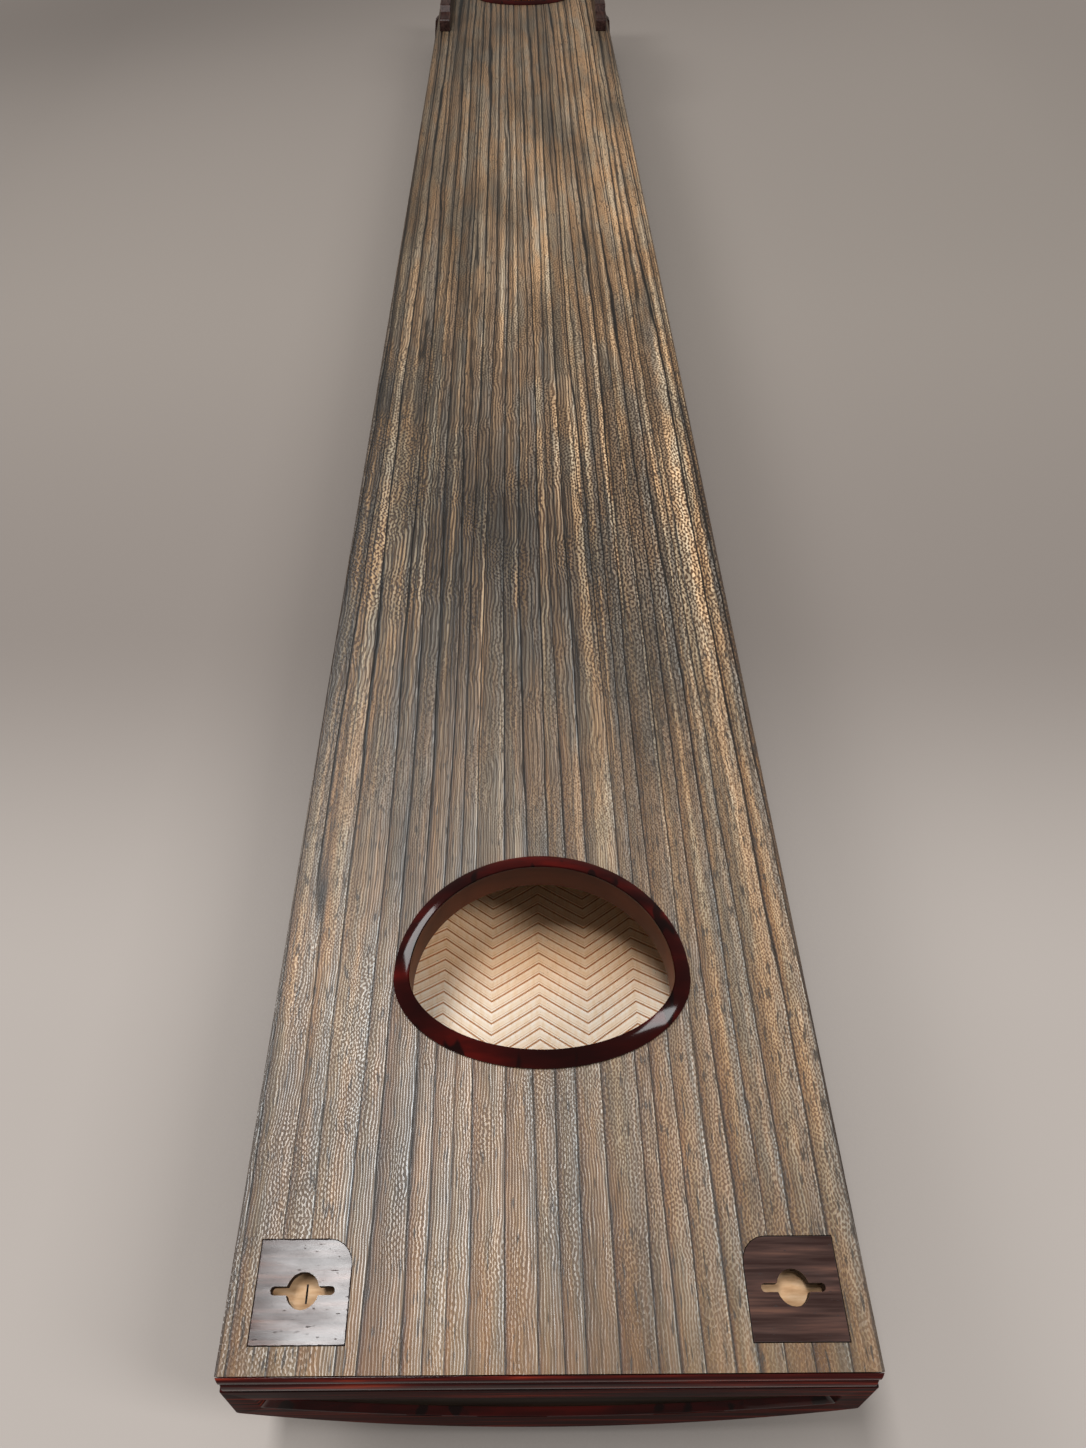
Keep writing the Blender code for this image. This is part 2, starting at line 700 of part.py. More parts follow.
def crest_outline(ridge_y):
    """A crest strip's outline: arched, flat at its middle, with a notch for each string."""
    low = ARCH_RADIUS + RIDGE_HEIGHT - CREST_HEIGHT + SEAM
    notch = STRING_DIAMETER / 2 + STRING_CLEARANCE
    depth = STRING_DIAMETER + STRING_CLEARANCE
    half = crest_half_span(ridge_y)
    outer = [(half, crest_z(half))]
    for number in reversed(range(STRING_COUNT)):
        x = on_arch(string_angle(number, ridge_y), 0, ARCH_RADIUS + RIDGE_HEIGHT).x
        floor = crest_z(x) + depth
        outer += [(x + notch, crest_z(x + notch)), (x + notch * NOTCH_FLOOR, floor)]
        outer += [(x - notch * NOTCH_FLOOR, floor), (x - notch, crest_z(x - notch))]
    outer.append((-half, crest_z(half)))
    return outer + arch_points(half, low)[::-1]


def make_ridge(name, ridge_y, has_ears):
    """A ridge across the deck, and its crest strip."""
    body_top = ARCH_RADIUS + RIDGE_HEIGHT - CREST_HEIGHT
    foot = ARCH_RADIUS + SEAM
    profile = [
        (ridge_y - RIDGE_BASE / 2, foot),
        (ridge_y + RIDGE_BASE / 2, foot),
        (ridge_y + RIDGE_TOP / 2, body_top),
        (ridge_y - RIDGE_TOP / 2, body_top),
    ]
    ridge = arched_bar(name, profile, ridge_half_span(ridge_y), DARK_ROSEWOOD)
    if has_ears:
        for side in (-1, 1):
            ear = [(side * x, z) for x, z in ear_outline(ridge_y)]
            placed = facing_head(ridge_y)
            guide = slab(f"{name}_ear_{side + 1}", [ear], EAR_LENGTH, None, placed, "cutters")
            cut(ridge, guide, "UNION")
    smooth(ridge)
    crest = slab(f"{name}_crest", [crest_outline(ridge_y)], CREST_WIDTH, CREST_IVORY, facing_head(ridge_y))
    return smooth(crest)


def ear_outline(ridge_y):
    """The end of the tail ridge, which bends round the shoulder and up the side of the body."""
    back = half_width(ridge_y - EAR_LENGTH / 2) + SEAM
    shoulder = back + SIDE_LEAN
    root = ridge_half_span(ridge_y) - EAR_ROOT
    under = ARCH_RADIUS + SEAM
    shares = [step / EAR_SEAT_STEPS for step in range(EAR_SEAT_STEPS + 1)]
    seat = [shoulder + (root - shoulder) * share for share in shares]
    corners = [(back, BACK_Z - EAR_TOP, 0)]
    corners += [(x, arch_z(x, under), 0) for x in seat]
    corners += [
        (root, arch_z(root, under + EAR_THICKNESS), 0),
        (shoulder, arch_z(shoulder, under + EAR_THICKNESS), EAR_UNDER_ROUND),
        (back + EAR_REACH, arch_z(shoulder, under), EAR_SIDE_ROUND),
        (back + EAR_TOP_REACH, BACK_Z - EAR_SHOULDER, EAR_TIP_ROUND),
    ]
    return rounded(corners, 4)


def string_route(number):
    """A string's centre line with its thickness: knot, hole, over both ridges, hole and knot."""
    route = []
    for ridge_y, side in string_ridges():
        angle = string_angle(number, ridge_y)
        hole_y = ridge_y + side * HOLES_FROM_RIDGE
        x = on_arch(angle, 0, ARCH_RADIUS + RIDGE_HEIGHT).x
        over = Vector((x, ridge_y, crest_z(x) + STRING_DIAMETER / 2 + STRING_CLEARANCE / 2))
        knot_radius = INNER_RADIUS - KNOT_DROP
        half = [
            (on_arch(angle, hole_y, knot_radius - KNOT_LENGTH * share), width)
            for share, width in KNOT_PROFILE
        ]
        half += [
            (on_arch(angle, hole_y, ARCH_RADIUS), 1.0),
            (on_arch(angle, hole_y - side * HOLE_BEND, ARCH_RADIUS + HOLE_BEND), 1.0),
            (over + Vector((0, side * (CREST_WIDTH / 2 + CREST_BREAK), CREST_BREAK_DROP)), 1.0),
            (over + Vector((0, side * CREST_WIDTH / 2, 0)), 1.0),
        ]
        route += half if side < 0 else half[::-1]
    return route


def make_strings():
    """The thirteen strings, each one length from knot to knot."""
    for number in range(STRING_COUNT):
        name = f"string_{number + 1:02d}"
        curve = bpy.data.curves.new(name, "CURVE")
        curve.dimensions = "3D"
        curve.bevel_depth = STRING_DIAMETER / 2
        curve.bevel_resolution = 2
        curve.use_fill_caps = True
        route = string_route(number)
        spline = curve.splines.new("POLY")
        spline.points.add(len(route) - 1)
        for point, (place, thickness) in zip(spline.points, route):
            point.co = (*place, 1)
            point.radius = thickness
        add_object(name, curve, STRING_WHITE)


def leaf_edge(front, half):
    """The outline of what is cut off the leaf plate's front, with a lobe for each scallop left."""
    side_y = front + LEAF_SWEEP + LEAF_NOTCH
    beyond = 2 * half
    edge = [(beyond, front - LEAF_SWEEP), (beyond, side_y)]
    for step in range(LEAF_LOBES * LEAF_LOBE_STEPS + 1):
        share = step / (LEAF_LOBES * LEAF_LOBE_STEPS)
        bulge = abs(math.sin(math.pi * share * LEAF_LOBES))
        setback = abs(2 * share - 1) * LEAF_SWEEP
        edge.append((half * (1 - 2 * share), front + setback + LEAF_NOTCH * (1 - bulge)))
    return edge + [(-beyond, side_y), (-beyond, front - LEAF_SWEEP)]


def make_leaf():
    """The plate over the tail of the deck, with a lobed front edge."""
    end = from_tail(0)
    front = end - LEAF_LENGTH
    half = half_width(end) - LEAF_FROM_SIDE
    under = ARCH_RADIUS + SEAM
    profile = [(front, under), (end, under), (end, under + LEAF_THICKNESS), (front, under + LEAF_THICKNESS)]
    leaf = arched_bar("tail_leaf_plate", profile, half, DARK_ROSEWOOD)
    waste = slab("leaf_waste", [leaf_edge(front, half)], 2 * BODY_DEPTH, None, lying(RIDGE_HEIGHT), "cutters")
    cut(leaf, waste)
    return smooth(leaf)


def make_feet():
    """The two low feet under the tail, stepped up from their toes."""
    near = from_tail(FOOT_FROM_TAIL + FOOT_LENGTH)
    far = from_tail(FOOT_FROM_TAIL)
    low = BACK_Z + SEAM
    toe = low + FOOT_TOE
    top = low + FOOT_HEIGHT
    outline = rounded(
        [
            (near, low, 0),
            (far, low, 0),
            (far, toe, FOOT_ROUND),
            (far - FOOT_STEP, toe, FOOT_ROUND),
            (far - FOOT_STEP - (top - toe), top, FOOT_ROUND),
            (near + FOOT_STEP + (top - toe), top, FOOT_ROUND),
            (near + FOOT_STEP, toe, FOOT_ROUND),
            (near, toe, FOOT_ROUND),
        ]
    )
    for name, side in (("left", -1), ("right", 1)):
        middle = side * (half_width((near + far) / 2) - FOOT_FROM_SIDE - FOOT_WIDTH / 2)
        foot = slab(f"{name}_tail_foot", [outline], FOOT_WIDTH, DARK_ROSEWOOD, facing_side(middle))
        smooth(foot)


def make_koto():
    """Every piece of the koto."""
    make_deck()
    make_board()
    make_plates_across()
    make_leg_sockets()
    for name, y in sound_holes():
        make_rim(name, y)
    make_end("head", from_head(0), 0)
    make_end("tail", from_tail(0), math.pi)
    make_ridge("head_ridge", from_head(HEAD_RIDGE_FROM_HEAD), False)
    make_ridge("tail_ridge", from_tail(TAIL_RIDGE_FROM_TAIL), True)
    make_leaf()
    make_feet()
    make_strings()


for old in list(bpy.data.objects):
    bpy.data.objects.remove(old)
make_koto()
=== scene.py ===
"""A koto lying on its deck, seen along its flat back from above the head end."""

import math

import bmesh
import bpy
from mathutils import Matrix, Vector


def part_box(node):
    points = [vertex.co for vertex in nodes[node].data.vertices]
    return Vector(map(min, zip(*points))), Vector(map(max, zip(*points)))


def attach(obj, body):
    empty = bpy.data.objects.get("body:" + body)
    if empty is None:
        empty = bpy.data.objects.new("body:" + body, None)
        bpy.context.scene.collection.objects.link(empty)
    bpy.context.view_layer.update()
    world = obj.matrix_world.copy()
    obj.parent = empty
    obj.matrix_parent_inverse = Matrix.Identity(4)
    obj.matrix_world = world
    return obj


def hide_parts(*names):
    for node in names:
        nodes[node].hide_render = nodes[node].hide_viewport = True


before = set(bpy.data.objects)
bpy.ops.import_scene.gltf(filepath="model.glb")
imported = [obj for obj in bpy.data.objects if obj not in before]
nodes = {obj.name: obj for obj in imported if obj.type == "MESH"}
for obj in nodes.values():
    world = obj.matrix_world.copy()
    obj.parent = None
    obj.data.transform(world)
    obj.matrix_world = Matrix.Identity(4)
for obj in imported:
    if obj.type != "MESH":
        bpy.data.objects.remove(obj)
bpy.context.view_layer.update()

# Camera: held over the head end, looking down along the back. Its place is counted from the head edge
# of the back board, in metres. The photograph's frame lies a little to the right of the lens axis.
board_low, board_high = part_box("back_board")
HEAD_EDGE = board_low.y
BACK_Z = board_high.z
CAMERA_ABOVE_BACK = 0.4131
CAMERA_BEHIND_HEAD = 0.0247
CAMERA_LEFT = 0.0102
CAMERA_PITCH = 51.58
CAMERA_YAW = 0.35
CAMERA_LENS = 23.1
CAMERA_SHIFT = 0.0142
camera_data = bpy.data.cameras.new("camera")
camera_data.sensor_fit = "VERTICAL"
camera_data.sensor_height = 36.0
camera_data.lens = CAMERA_LENS
camera_data.shift_x = CAMERA_SHIFT
camera_data.clip_start = 0.01
camera = bpy.data.objects.new("camera", camera_data)
bpy.context.scene.collection.objects.link(camera)
camera.location = (-CAMERA_LEFT, HEAD_EDGE - CAMERA_BEHIND_HEAD, BACK_Z + CAMERA_ABOVE_BACK)
camera.rotation_euler = (math.radians(90 - CAMERA_PITCH), 0, math.radians(-CAMERA_YAW))
bpy.context.scene.camera = camera
bpy.context.scene.view_settings.view_transform = "Standard"

# Back board and deck: paulownia, a light soft wood. Both are scorched black with a hot iron and then
# brushed and waxed, so that the hard late wood of each year stands up as a grey-blue line, the soft
# early wood beside it keeps a scorched brown, and the fibres between shine like watered silk.
MM = 0.001
HEAD_WIDTH = board_high.x - board_low.x
TAPER = 0.005
EDGE_LINE = 0.9 * MM
EDGE_FADE = 1.6
RING = 8.4 * MM
NEAR_CREST = 1.2 * MM
FAR_CREST = 2.3 * MM
QUIET_X = -0.045
QUIET_FADE = 3.0
SILK_KEPT = 0.62
CURL = 4.5
CALM_TURNS = 0.9
WILD_TURNS = 3.0
CALM_CREST = 0.7
CALM_FIBRES = 1.1
ZONE_WEIGHT = 0.30
PORE_CROWDING = 0.5
LINE_CORE = 0.475
FIBRE_RELIEF = 1.2
CREST_RELIEF = 0.9
WOOD_RELIEF = 0.18 * MM
# How far the rings wander with each noise, in rings
WANDER = {"sway": 1.7, "tremble": 0.25}
# Dark lines: what sets their depth along the board, and how many of them there are to a ring
LINES = {"late_depth": 1.0, "between_depth": 1.618}
# Wave families of the silk: angle in degrees, strength where the crests lie straight and where they curl
WAVES = ((0, 1.0, 1.0), (50, 0.0, 0.8), (-50, 0.0, 0.8), (90, 0.0, 0.5))
# Noises drawn out along the grain: how much of their length they keep, their size across, their detail
DRAWN = {
    "sway": (0.02, 17 * MM, 1.0),
    "tremble": (0.08, 6 * MM, 2.0),
    "stripes": (0.008, 4.4 * MM, 3.0),
    "zone": (0.12, 34 * MM, 2.0),
    "smoke": (0.2, 36 * MM, 2.5),
    "fibres": (0.08, 1.4 * MM, 3.0),
    "patch": (0.45, 21 * MM, 1.0),
    "pores": (0.13, 1.3 * MM, 1.0),
    "mottle": (0.12, 9 * MM, 2.0),
}
# What changes along the board: from this Y to this Y in metres, out of this value into this one
ALONG = {
    "ironed": (-0.88, -0.50, 0.12, 0.80),
    "warmed": (-0.45, 0.10, 0.0, 0.05),
    "evened": (-0.40, 0.10, 0.0, 0.66),
    "late_width": (-0.80, 0.40, 0.04, 0.14),
    "late_depth": (-0.86, -0.60, 0.25, 1.0),
    "between_depth": (-0.80, -0.55, 0.10, 0.85),
    "cleared": (-0.50, -0.10, 1.08, 1.26),
    "dimmed": (0.0, 0.55, 1.0, 0.80),
    "sheen_painted_at_head": (-0.80, -0.55, 1.18, 1.02),
    "rightward": (-0.76, -0.50, -0.5, 3.8),
    "aged": (-0.60, -0.10, 0.0, 0.45),
    "further": (-0.76, -0.50, 0.0, 1.0),
    "calm": (-0.40, 0.0, 0.0, 0.6),
    "head": (-0.912, -0.86, 0.6, 0.0),
}
# What a pattern, or a place across the board, does: between these two values of it, out of this effect
# into this one
EFFECTS = {
    "outer_tan": (0.08, 0.115, -0.01, 0.07),
    "from_middle": (-0.065, 0.08, -0.065, 0.08),
    "smoked": (0.42, 0.66, 1.12, 0.62),
    "fibred": (0.3, 0.7, 0.84, 1.46),
    "wild": (0.52, 0.80, 0.0, 1.0),
    "crests": (-0.5, 0.5, 0.0, 1.0),
    "lit": (0.08, 0.40, 0.72, 1.0),
    "hue": (0.42, 0.60, 0.0, 1.0),
    "pitted": (0.65, 0.72, 0.0, 0.8),
    "rise": (0.04, 0.94, 0.0, 1.8),
    "fall": (0.95, 1.0, 1.0, 0.0),
    "gloss": (0.2, 1.0, 0.50, 0.28),
}


def linear(hex_colour):
    """An sRGB hex colour as the linear colour that a shader takes."""
    channels = [int(hex_colour[i : i + 2], 16) / 255 for i in (1, 3, 5)]
    return [c / 12.92 if c <= 0.04045 else ((c + 0.055) / 1.055) ** 2.4 for c in channels] + [1]


def new_material(name):
    """An empty material with its shader, and the node tree to build in."""
    made = bpy.data.materials.new(name)
    made.use_nodes = True
    return made, made.node_tree, made.node_tree.nodes["Principled BSDF"]


def add(tree, kind, inputs=(), stops=(), **settings):
    """A node with its settings and ramp stops.

    Its inputs are values or other nodes' outputs, in order or by their numbers or names.
    """
    node = tree.nodes.new("ShaderNode" + kind)
    for key, value in settings.items():
        setattr(node, key, value)
    for number, (place, colour) in enumerate(stops):
        elements = node.color_ramp.elements
        element = elements[number] if number < 2 else elements.new(place)
        element.position = place
        element.color = linear(colour)
    for key, value in inputs.items() if isinstance(inputs, dict) else enumerate(inputs):
        if isinstance(value, bpy.types.NodeSocket):
            tree.links.new(value, node.inputs[key])
        else:
            node.inputs[key].default_value = value
    return node


def dress(material, *names):
    """Gives this material to CAD nodes."""
    for name in names:
        mesh = nodes[name].data
        mesh.materials.clear()
        mesh.materials.append(material)


def scorched_paulownia(name, pith, lean):
    """The wood of a plank sawn at this place beside the log's pith (x, z).

    The lean is how fast the log narrows, which draws the rings into long arches on a flat cut.
    """
    made, tree, shader = new_material(name)
    place = add(tree, "TexCoord").outputs["Object"]
    axes = add(tree, "SeparateXYZ", [place]).outputs
    side = add(tree, "Math", [axes[0]], operation="ABSOLUTE").outputs[0]
    drawn = {}
    for pattern, (kept, size, detail) in DRAWN.items():
        at = add(tree, "Mapping", {0: place, 1: (len(drawn), 0, 0), 3: (1, kept, 1)}).outputs[0]
        noise = add(tree, "TexNoise", {"Vector": at, "Scale": 1 / size, "Detail": detail})
        drawn[pattern] = noise.outputs[0]
    along = {}
    for effect, reach in ALONG.items():
        along[effect] = add(tree, "MapRange", [axes[1], *reach]).outputs[0]

    # Rings of uneven width, which wander a little along the plank
    from_pith = add(tree, "Mapping", {0: place, 1: (-pith[0], 0, -pith[1]), 3: (1, 0, 1)}).outputs[0]
    radius = add(tree, "VectorMath", [from_pith], operation="LENGTH").outputs[1]
    wandered = add(tree, "Math", [axes[1], lean, radius], operation="MULTIPLY_ADD").outputs[0]
    for pattern, reach in WANDER.items():
        off = [drawn[pattern], reach * RING, wandered]
        wandered = add(tree, "Math", off, operation="MULTIPLY_ADD").outputs[0]
    rings = add(tree, "Math", [wandered, RING], operation="DIVIDE").outputs[0]
    share = add(tree, "Math", [rings], operation="FRACT").outputs[0]
    number = add(tree, "Math", [rings], operation="FLOOR").outputs[0]
    year = add(tree, "TexWhiteNoise", {"W": number}, noise_dimensions="1D").outputs[0]

    # One year's growth: brown early wood, paler wood with bright fibres, the raised late line with a
    # painted highlight on its edge, and a painted shadow beside it
    growth = add(
        tree,
        "ValToRGB",
        [share],
        stops=[
            (0.0, "#332822"), (1.0, "#2C2522"), (0.035, "#604832"), (0.11, "#80674B"), (0.26, "#89745B"),
            (0.45, "#8E7D69"), (0.75, "#95877A"), (0.9, "#8D867F"), (0.93, "#B4B1AE"), (0.965, "#6A6766"),
        ],
    ).outputs[0]

    # Stripes of tan and slate that the hot iron leaves: narrow, long, and strongest away from the head
    zoned = [drawn["zone"], ZONE_WEIGHT, drawn["stripes"]]
    cool = add(tree, "Math", zoned, operation="MULTIPLY_ADD").outputs[0]
    outer_tan = add(tree, "MapRange", [side, *EFFECTS["outer_tan"]]).outputs[0]
    for warmer in (along["warmed"], outer_tan):
        cool = add(tree, "Math", [cool, warmer], operation="SUBTRACT").outputs[0]
    striped = add(
        tree,
        "ValToRGB",
        [cool],
        stops=[
            (0.44, "#B5A289"), (0.84, "#746656"), (0.53, "#A18D74"), (0.585, "#84725D"), (0.62, "#52493F"),
            (0.66, "#3A3532"), (0.70, "#6C6054"), (0.76, "#3A3633"),
        ],
    ).outputs[0]
    even = {0: along["evened"], 6: striped, 7: linear("#947C63")}
    evened = add(tree, "Mix", even, data_type="RGBA").outputs[2]
    banded = add(tree, "Mix", {0: along["ironed"], 6: growth, 7: evened}, data_type="RGBA").outputs[2]

    # The late wood of each year is a thin dark line, and false rings lie between them at another spacing
    late_from = add(tree, "Math", [0.5, along["late_width"]], operation="SUBTRACT").outputs[0]
    lined = banded
    for depth, often in LINES.items():
        counted = add(tree, "Math", [rings, often], operation="MULTIPLY").outputs[0]
        within = add(tree, "Math", [counted], operation="FRACT").outputs[0]
        off_half = add(tree, "Math", [within, 0.5], operation="SUBTRACT").outputs[0]
        off_half = add(tree, "Math", [off_half], operation="ABSOLUTE").outputs[0]
        line = add(tree, "MapRange", [off_half, late_from, LINE_CORE]).outputs[0]
        shown = add(tree, "Math", [line, along[depth]], operation="MULTIPLY").outputs[0]
        lined = add(tree, "Mix", {0: shown, 6: lined, 7: linear("#1B1816")}, data_type="RGBA").outputs[2]

    # Smoky patches from the hot iron, a tone of its own for each year, and the fibres themselves
    smoked = add(tree, "MapRange", [drawn["smoke"], *EFFECTS["smoked"]]).outputs[0]
    # Painted light: away from the head the board is painted lighter to the right of its middle and darker
    # to the left, and near the head a little the other way.
    from_middle = add(tree, "MapRange", [axes[0], *EFFECTS["from_middle"]]).outputs[0]
    rightward = [from_middle, along["rightward"], 1.0]
    side_light_painted = add(tree, "Math", rightward, operation="MULTIPLY_ADD").outputs[0]
    off_year = add(tree, "Math", [year, 0.5], operation="SUBTRACT").outputs[0]
    aged = add(tree, "Math", [off_year, along["aged"], 1.0], operation="MULTIPLY_ADD").outputs[0]
    fibred = add(tree, "MapRange", [drawn["fibres"], *EFFECTS["fibred"]]).outputs[0]
    calmed = add(tree, "Mix", {0: along["calm"], 2: fibred, 3: CALM_FIBRES}).outputs[0]
    # Painted sheen: the tone is lifted towards the head end, where the overhead lamp's sheen lies.
    tone = along["cleared"]
    for factor in (along["dimmed"], along["sheen_painted_at_head"], smoked, side_light_painted, aged, calmed):
        tone = add(tree, "Math", [tone, factor], operation="MULTIPLY").outputs[0]

    # Watered silk: crests of fibre with browner valleys between. The crests are the sum of four families
    # of waves whose phases wander. Only the first family is left along the middle left, where the crests
    # lie straight. Far from the head they are drawn coarser than they are, so that they show.
    off_quiet = add(tree, "Math", [axes[0], QUIET_X], operation="SUBTRACT").outputs[0]
    from_quiet = add(tree, "Math", [off_quiet], operation="ABSOLUTE").outputs[0]
    patchy = [from_quiet, QUIET_FADE, drawn["patch"]]
    restless = add(tree, "Math", patchy, operation="MULTIPLY_ADD").outputs[0]
    wild = add(tree, "MapRange", [restless, *EFFECTS["wild"]]).outputs[0]
    turned = add(tree, "MapRange", {0: wild, 3: CALM_TURNS, 4: WILD_TURNS}).outputs[0]
    crests = []
    for pitch in (NEAR_CREST, FAR_CREST):
        total = 0.0
        for angle, straight, curled in WAVES:
            at = add(tree, "Mapping", {0: place, 1: (angle * MM, 0, 0), 3: (1, SILK_KEPT, 1)}).outputs[0]
            roaming = {"Vector": at, "Scale": 1 / (CURL * pitch), "Detail": 0.0}
            wander = add(tree, "TexNoise", roaming).outputs[0]
            across = (math.cos(math.radians(angle)) / pitch, math.sin(math.radians(angle)) / pitch, 0)
            passed = add(tree, "VectorMath", [at, across], operation="DOT_PRODUCT").outputs[1]
            count = add(tree, "Math", [wander, turned, passed], operation="MULTIPLY_ADD").outputs[0]
            phase = add(tree, "Math", [count, 2 * math.pi], operation="MULTIPLY").outputs[0]
            wave = add(tree, "Math", [phase], operation="SINE").outputs[0]
            height = add(tree, "MapRange", {0: wild, 3: straight, 4: curled}).outputs[0]
            total = add(tree, "Math", [wave, height, total], operation="MULTIPLY_ADD").outputs[0]
        crests.append(add(tree, "MapRange", [total, *EFFECTS["crests"]]).outputs[0])
    sharp = add(tree, "Mix", {0: along["further"], 2: crests[0], 3: crests[1]}).outputs[0]
    smooth = add(tree, "Mix", {0: along["calm"], 2: sharp, 3: CALM_CREST}).outputs[0]
    lit = add(tree, "MapRange", [share, *EFFECTS["lit"]]).outputs[0]
    crest = add(tree, "Math", [smooth, lit], operation="MULTIPLY").outputs[0]

    # The silk's colours: crests lighter than valleys, partly the fibres' own colour and partly a painted
    # highlight, whitest where the crests lie straight. Browner right at the head, and a mottling of warm
    # and cool over all
    valleys = {0: along["further"], 6: linear("#A9917A"), 7: linear("#705C4A")}
    valley = add(tree, "Mix", valleys, data_type="RGBA").outputs[2]
    ridges = {0: wild, 6: linear("#FFFFFF"), 7: linear("#FFFAF2")}
    ridge = add(tree, "Mix", ridges, data_type="RGBA").outputs[2]
    silk = add(tree, "Mix", {0: crest, 6: valley, 7: ridge}, data_type="RGBA").outputs[2]
    browner = {0: along["head"], 6: silk, 7: linear("#D2B48C")}
    scorched = add(tree, "Mix", browner, data_type="RGBA").outputs[2]
    hue = add(tree, "MapRange", [drawn["mottle"], *EFFECTS["hue"]]).outputs[0]
    mottles = {0: hue, 6: linear("#F8EDDF"), 7: linear("#E8F1F8")}
    mottled = add(tree, "Mix", mottles, data_type="RGBA").outputs[2]
    grained = lined
    for tint in (scorched, mottled):
        grained = add(tree, "VectorMath", [grained, tint], operation="MULTIPLY").outputs[0]
    toned = add(tree, "VectorMath", {0: grained, 3: tone}, operation="SCALE").outputs[0]

    # Open pores: short dark dashes along the grain, thickest near the edges of the plank
    crowd = add(tree, "Math", [side, PORE_CROWDING, drawn["pores"]], operation="MULTIPLY_ADD").outputs[0]
    pitted = add(tree, "MapRange", [crowd, *EFFECTS["pitted"]]).outputs[0]
    pored = add(tree, "Mix", {0: pitted, 6: toned, 7: linear("#2F2822")}, data_type="RGBA").outputs[2]

    # The board's edge where it meets the deck: a dark line painted there as the shade of the side below
    # the arris
    slope = TAPER / 2 / (board_high.y - board_low.y)
    tapered = add(tree, "Math", [axes[1], slope, side], operation="MULTIPLY_ADD").outputs[0]
    outer = HEAD_WIDTH / 2 - TAPER / 4
    edge = [tapered, outer - EDGE_FADE * EDGE_LINE, outer - EDGE_LINE, 0.0, 0.8]
    arris = add(tree, "MapRange", edge).outputs[0]
    edge_shade_painted = add(tree, "Mix", {0: arris, 6: pored, 7: linear("#33261C")}, data_type="RGBA").outputs[2]
    tree.links.new(edge_shade_painted, shader.inputs["Base Color"])

    # Brushing leaves each year's soft wood low and its late wood high
    rise = add(tree, "MapRange", [share, *EFFECTS["rise"]]).outputs[0]
    fall = add(tree, "MapRange", [share, *EFFECTS["fall"]]).outputs[0]
    relief = add(tree, "Math", [rise, fall], operation="MULTIPLY").outputs[0]
    for pattern, height in ((drawn["fibres"], FIBRE_RELIEF), (crest, CREST_RELIEF)):
        relief = add(tree, "Math", [pattern, height, relief], operation="MULTIPLY_ADD").outputs[0]
    bump = add(tree, "Bump", {"Height": relief, "Strength": 0.7, "Distance": WOOD_RELIEF})
    tree.links.new(bump.outputs[0], shader.inputs["Normal"])
    gloss = add(tree, "MapRange", [crest, *EFFECTS["gloss"]]).outputs[0]
    tree.links.new(gloss, shader.inputs["Roughness"])
    shader.inputs["IOR"].default_value = 1.5
    return made


flat_sawn = scorched_paulownia("scorched_paulownia_back", pith=(-0.50, -0.30), lean=0.004)
hollowed = scorched_paulownia("scorched_paulownia_deck", pith=(0.01, 0.13), lean=0.016)
dress(flat_sawn, "back_board")
dress(hollowed, "deck_shell")

# Inside: the hollow is left raw from the gouge, and carved all over with a herringbone of fine grooves
# that scatter the sound. The bulkheads and the open braces across it are raw paulownia too.
CARVING_PITCH = 6.0 * MM
GROOVE_WIDTH = 1.3 * MM
GROOVE_DEPTH = 0.75 * MM
ZIGZAG = 25.3 * MM
ZIGZAG_RISE = 16.1 * MM
ZIGZAG_FOLDS = 5
FOLD_COLUMNS = 4
ARCH_Z = 0.265
CARVED_RADIUS = 235.1 * MM
UNDER_RADIUS = 235.95 * MM
CARVED_HALF = 104.4 * MM
CARVED_CLEAR = 0.5 * MM


def zigzag(x):
    """How far towards the tail a groove lies at this X: it peaks over the middle."""
    share = abs(x) / ZIGZAG % 2
    return ZIGZAG_RISE * (1 - min(share, 2 - share))


def groove_depth(count):
    """How deep the carving is between 0 on its lands and 1 in its grooves, which lie at whole counts."""
    share = count % 1
    off_centre = min(share, 1 - share) * CARVING_PITCH
    return max(0.0, 1 - off_centre / (GROOVE_WIDTH / 2))


def arched(x, radius):
    """The height of the hollow's arch at this X and radius."""
    return ARCH_Z - math.sqrt(radius * radius - x * x)


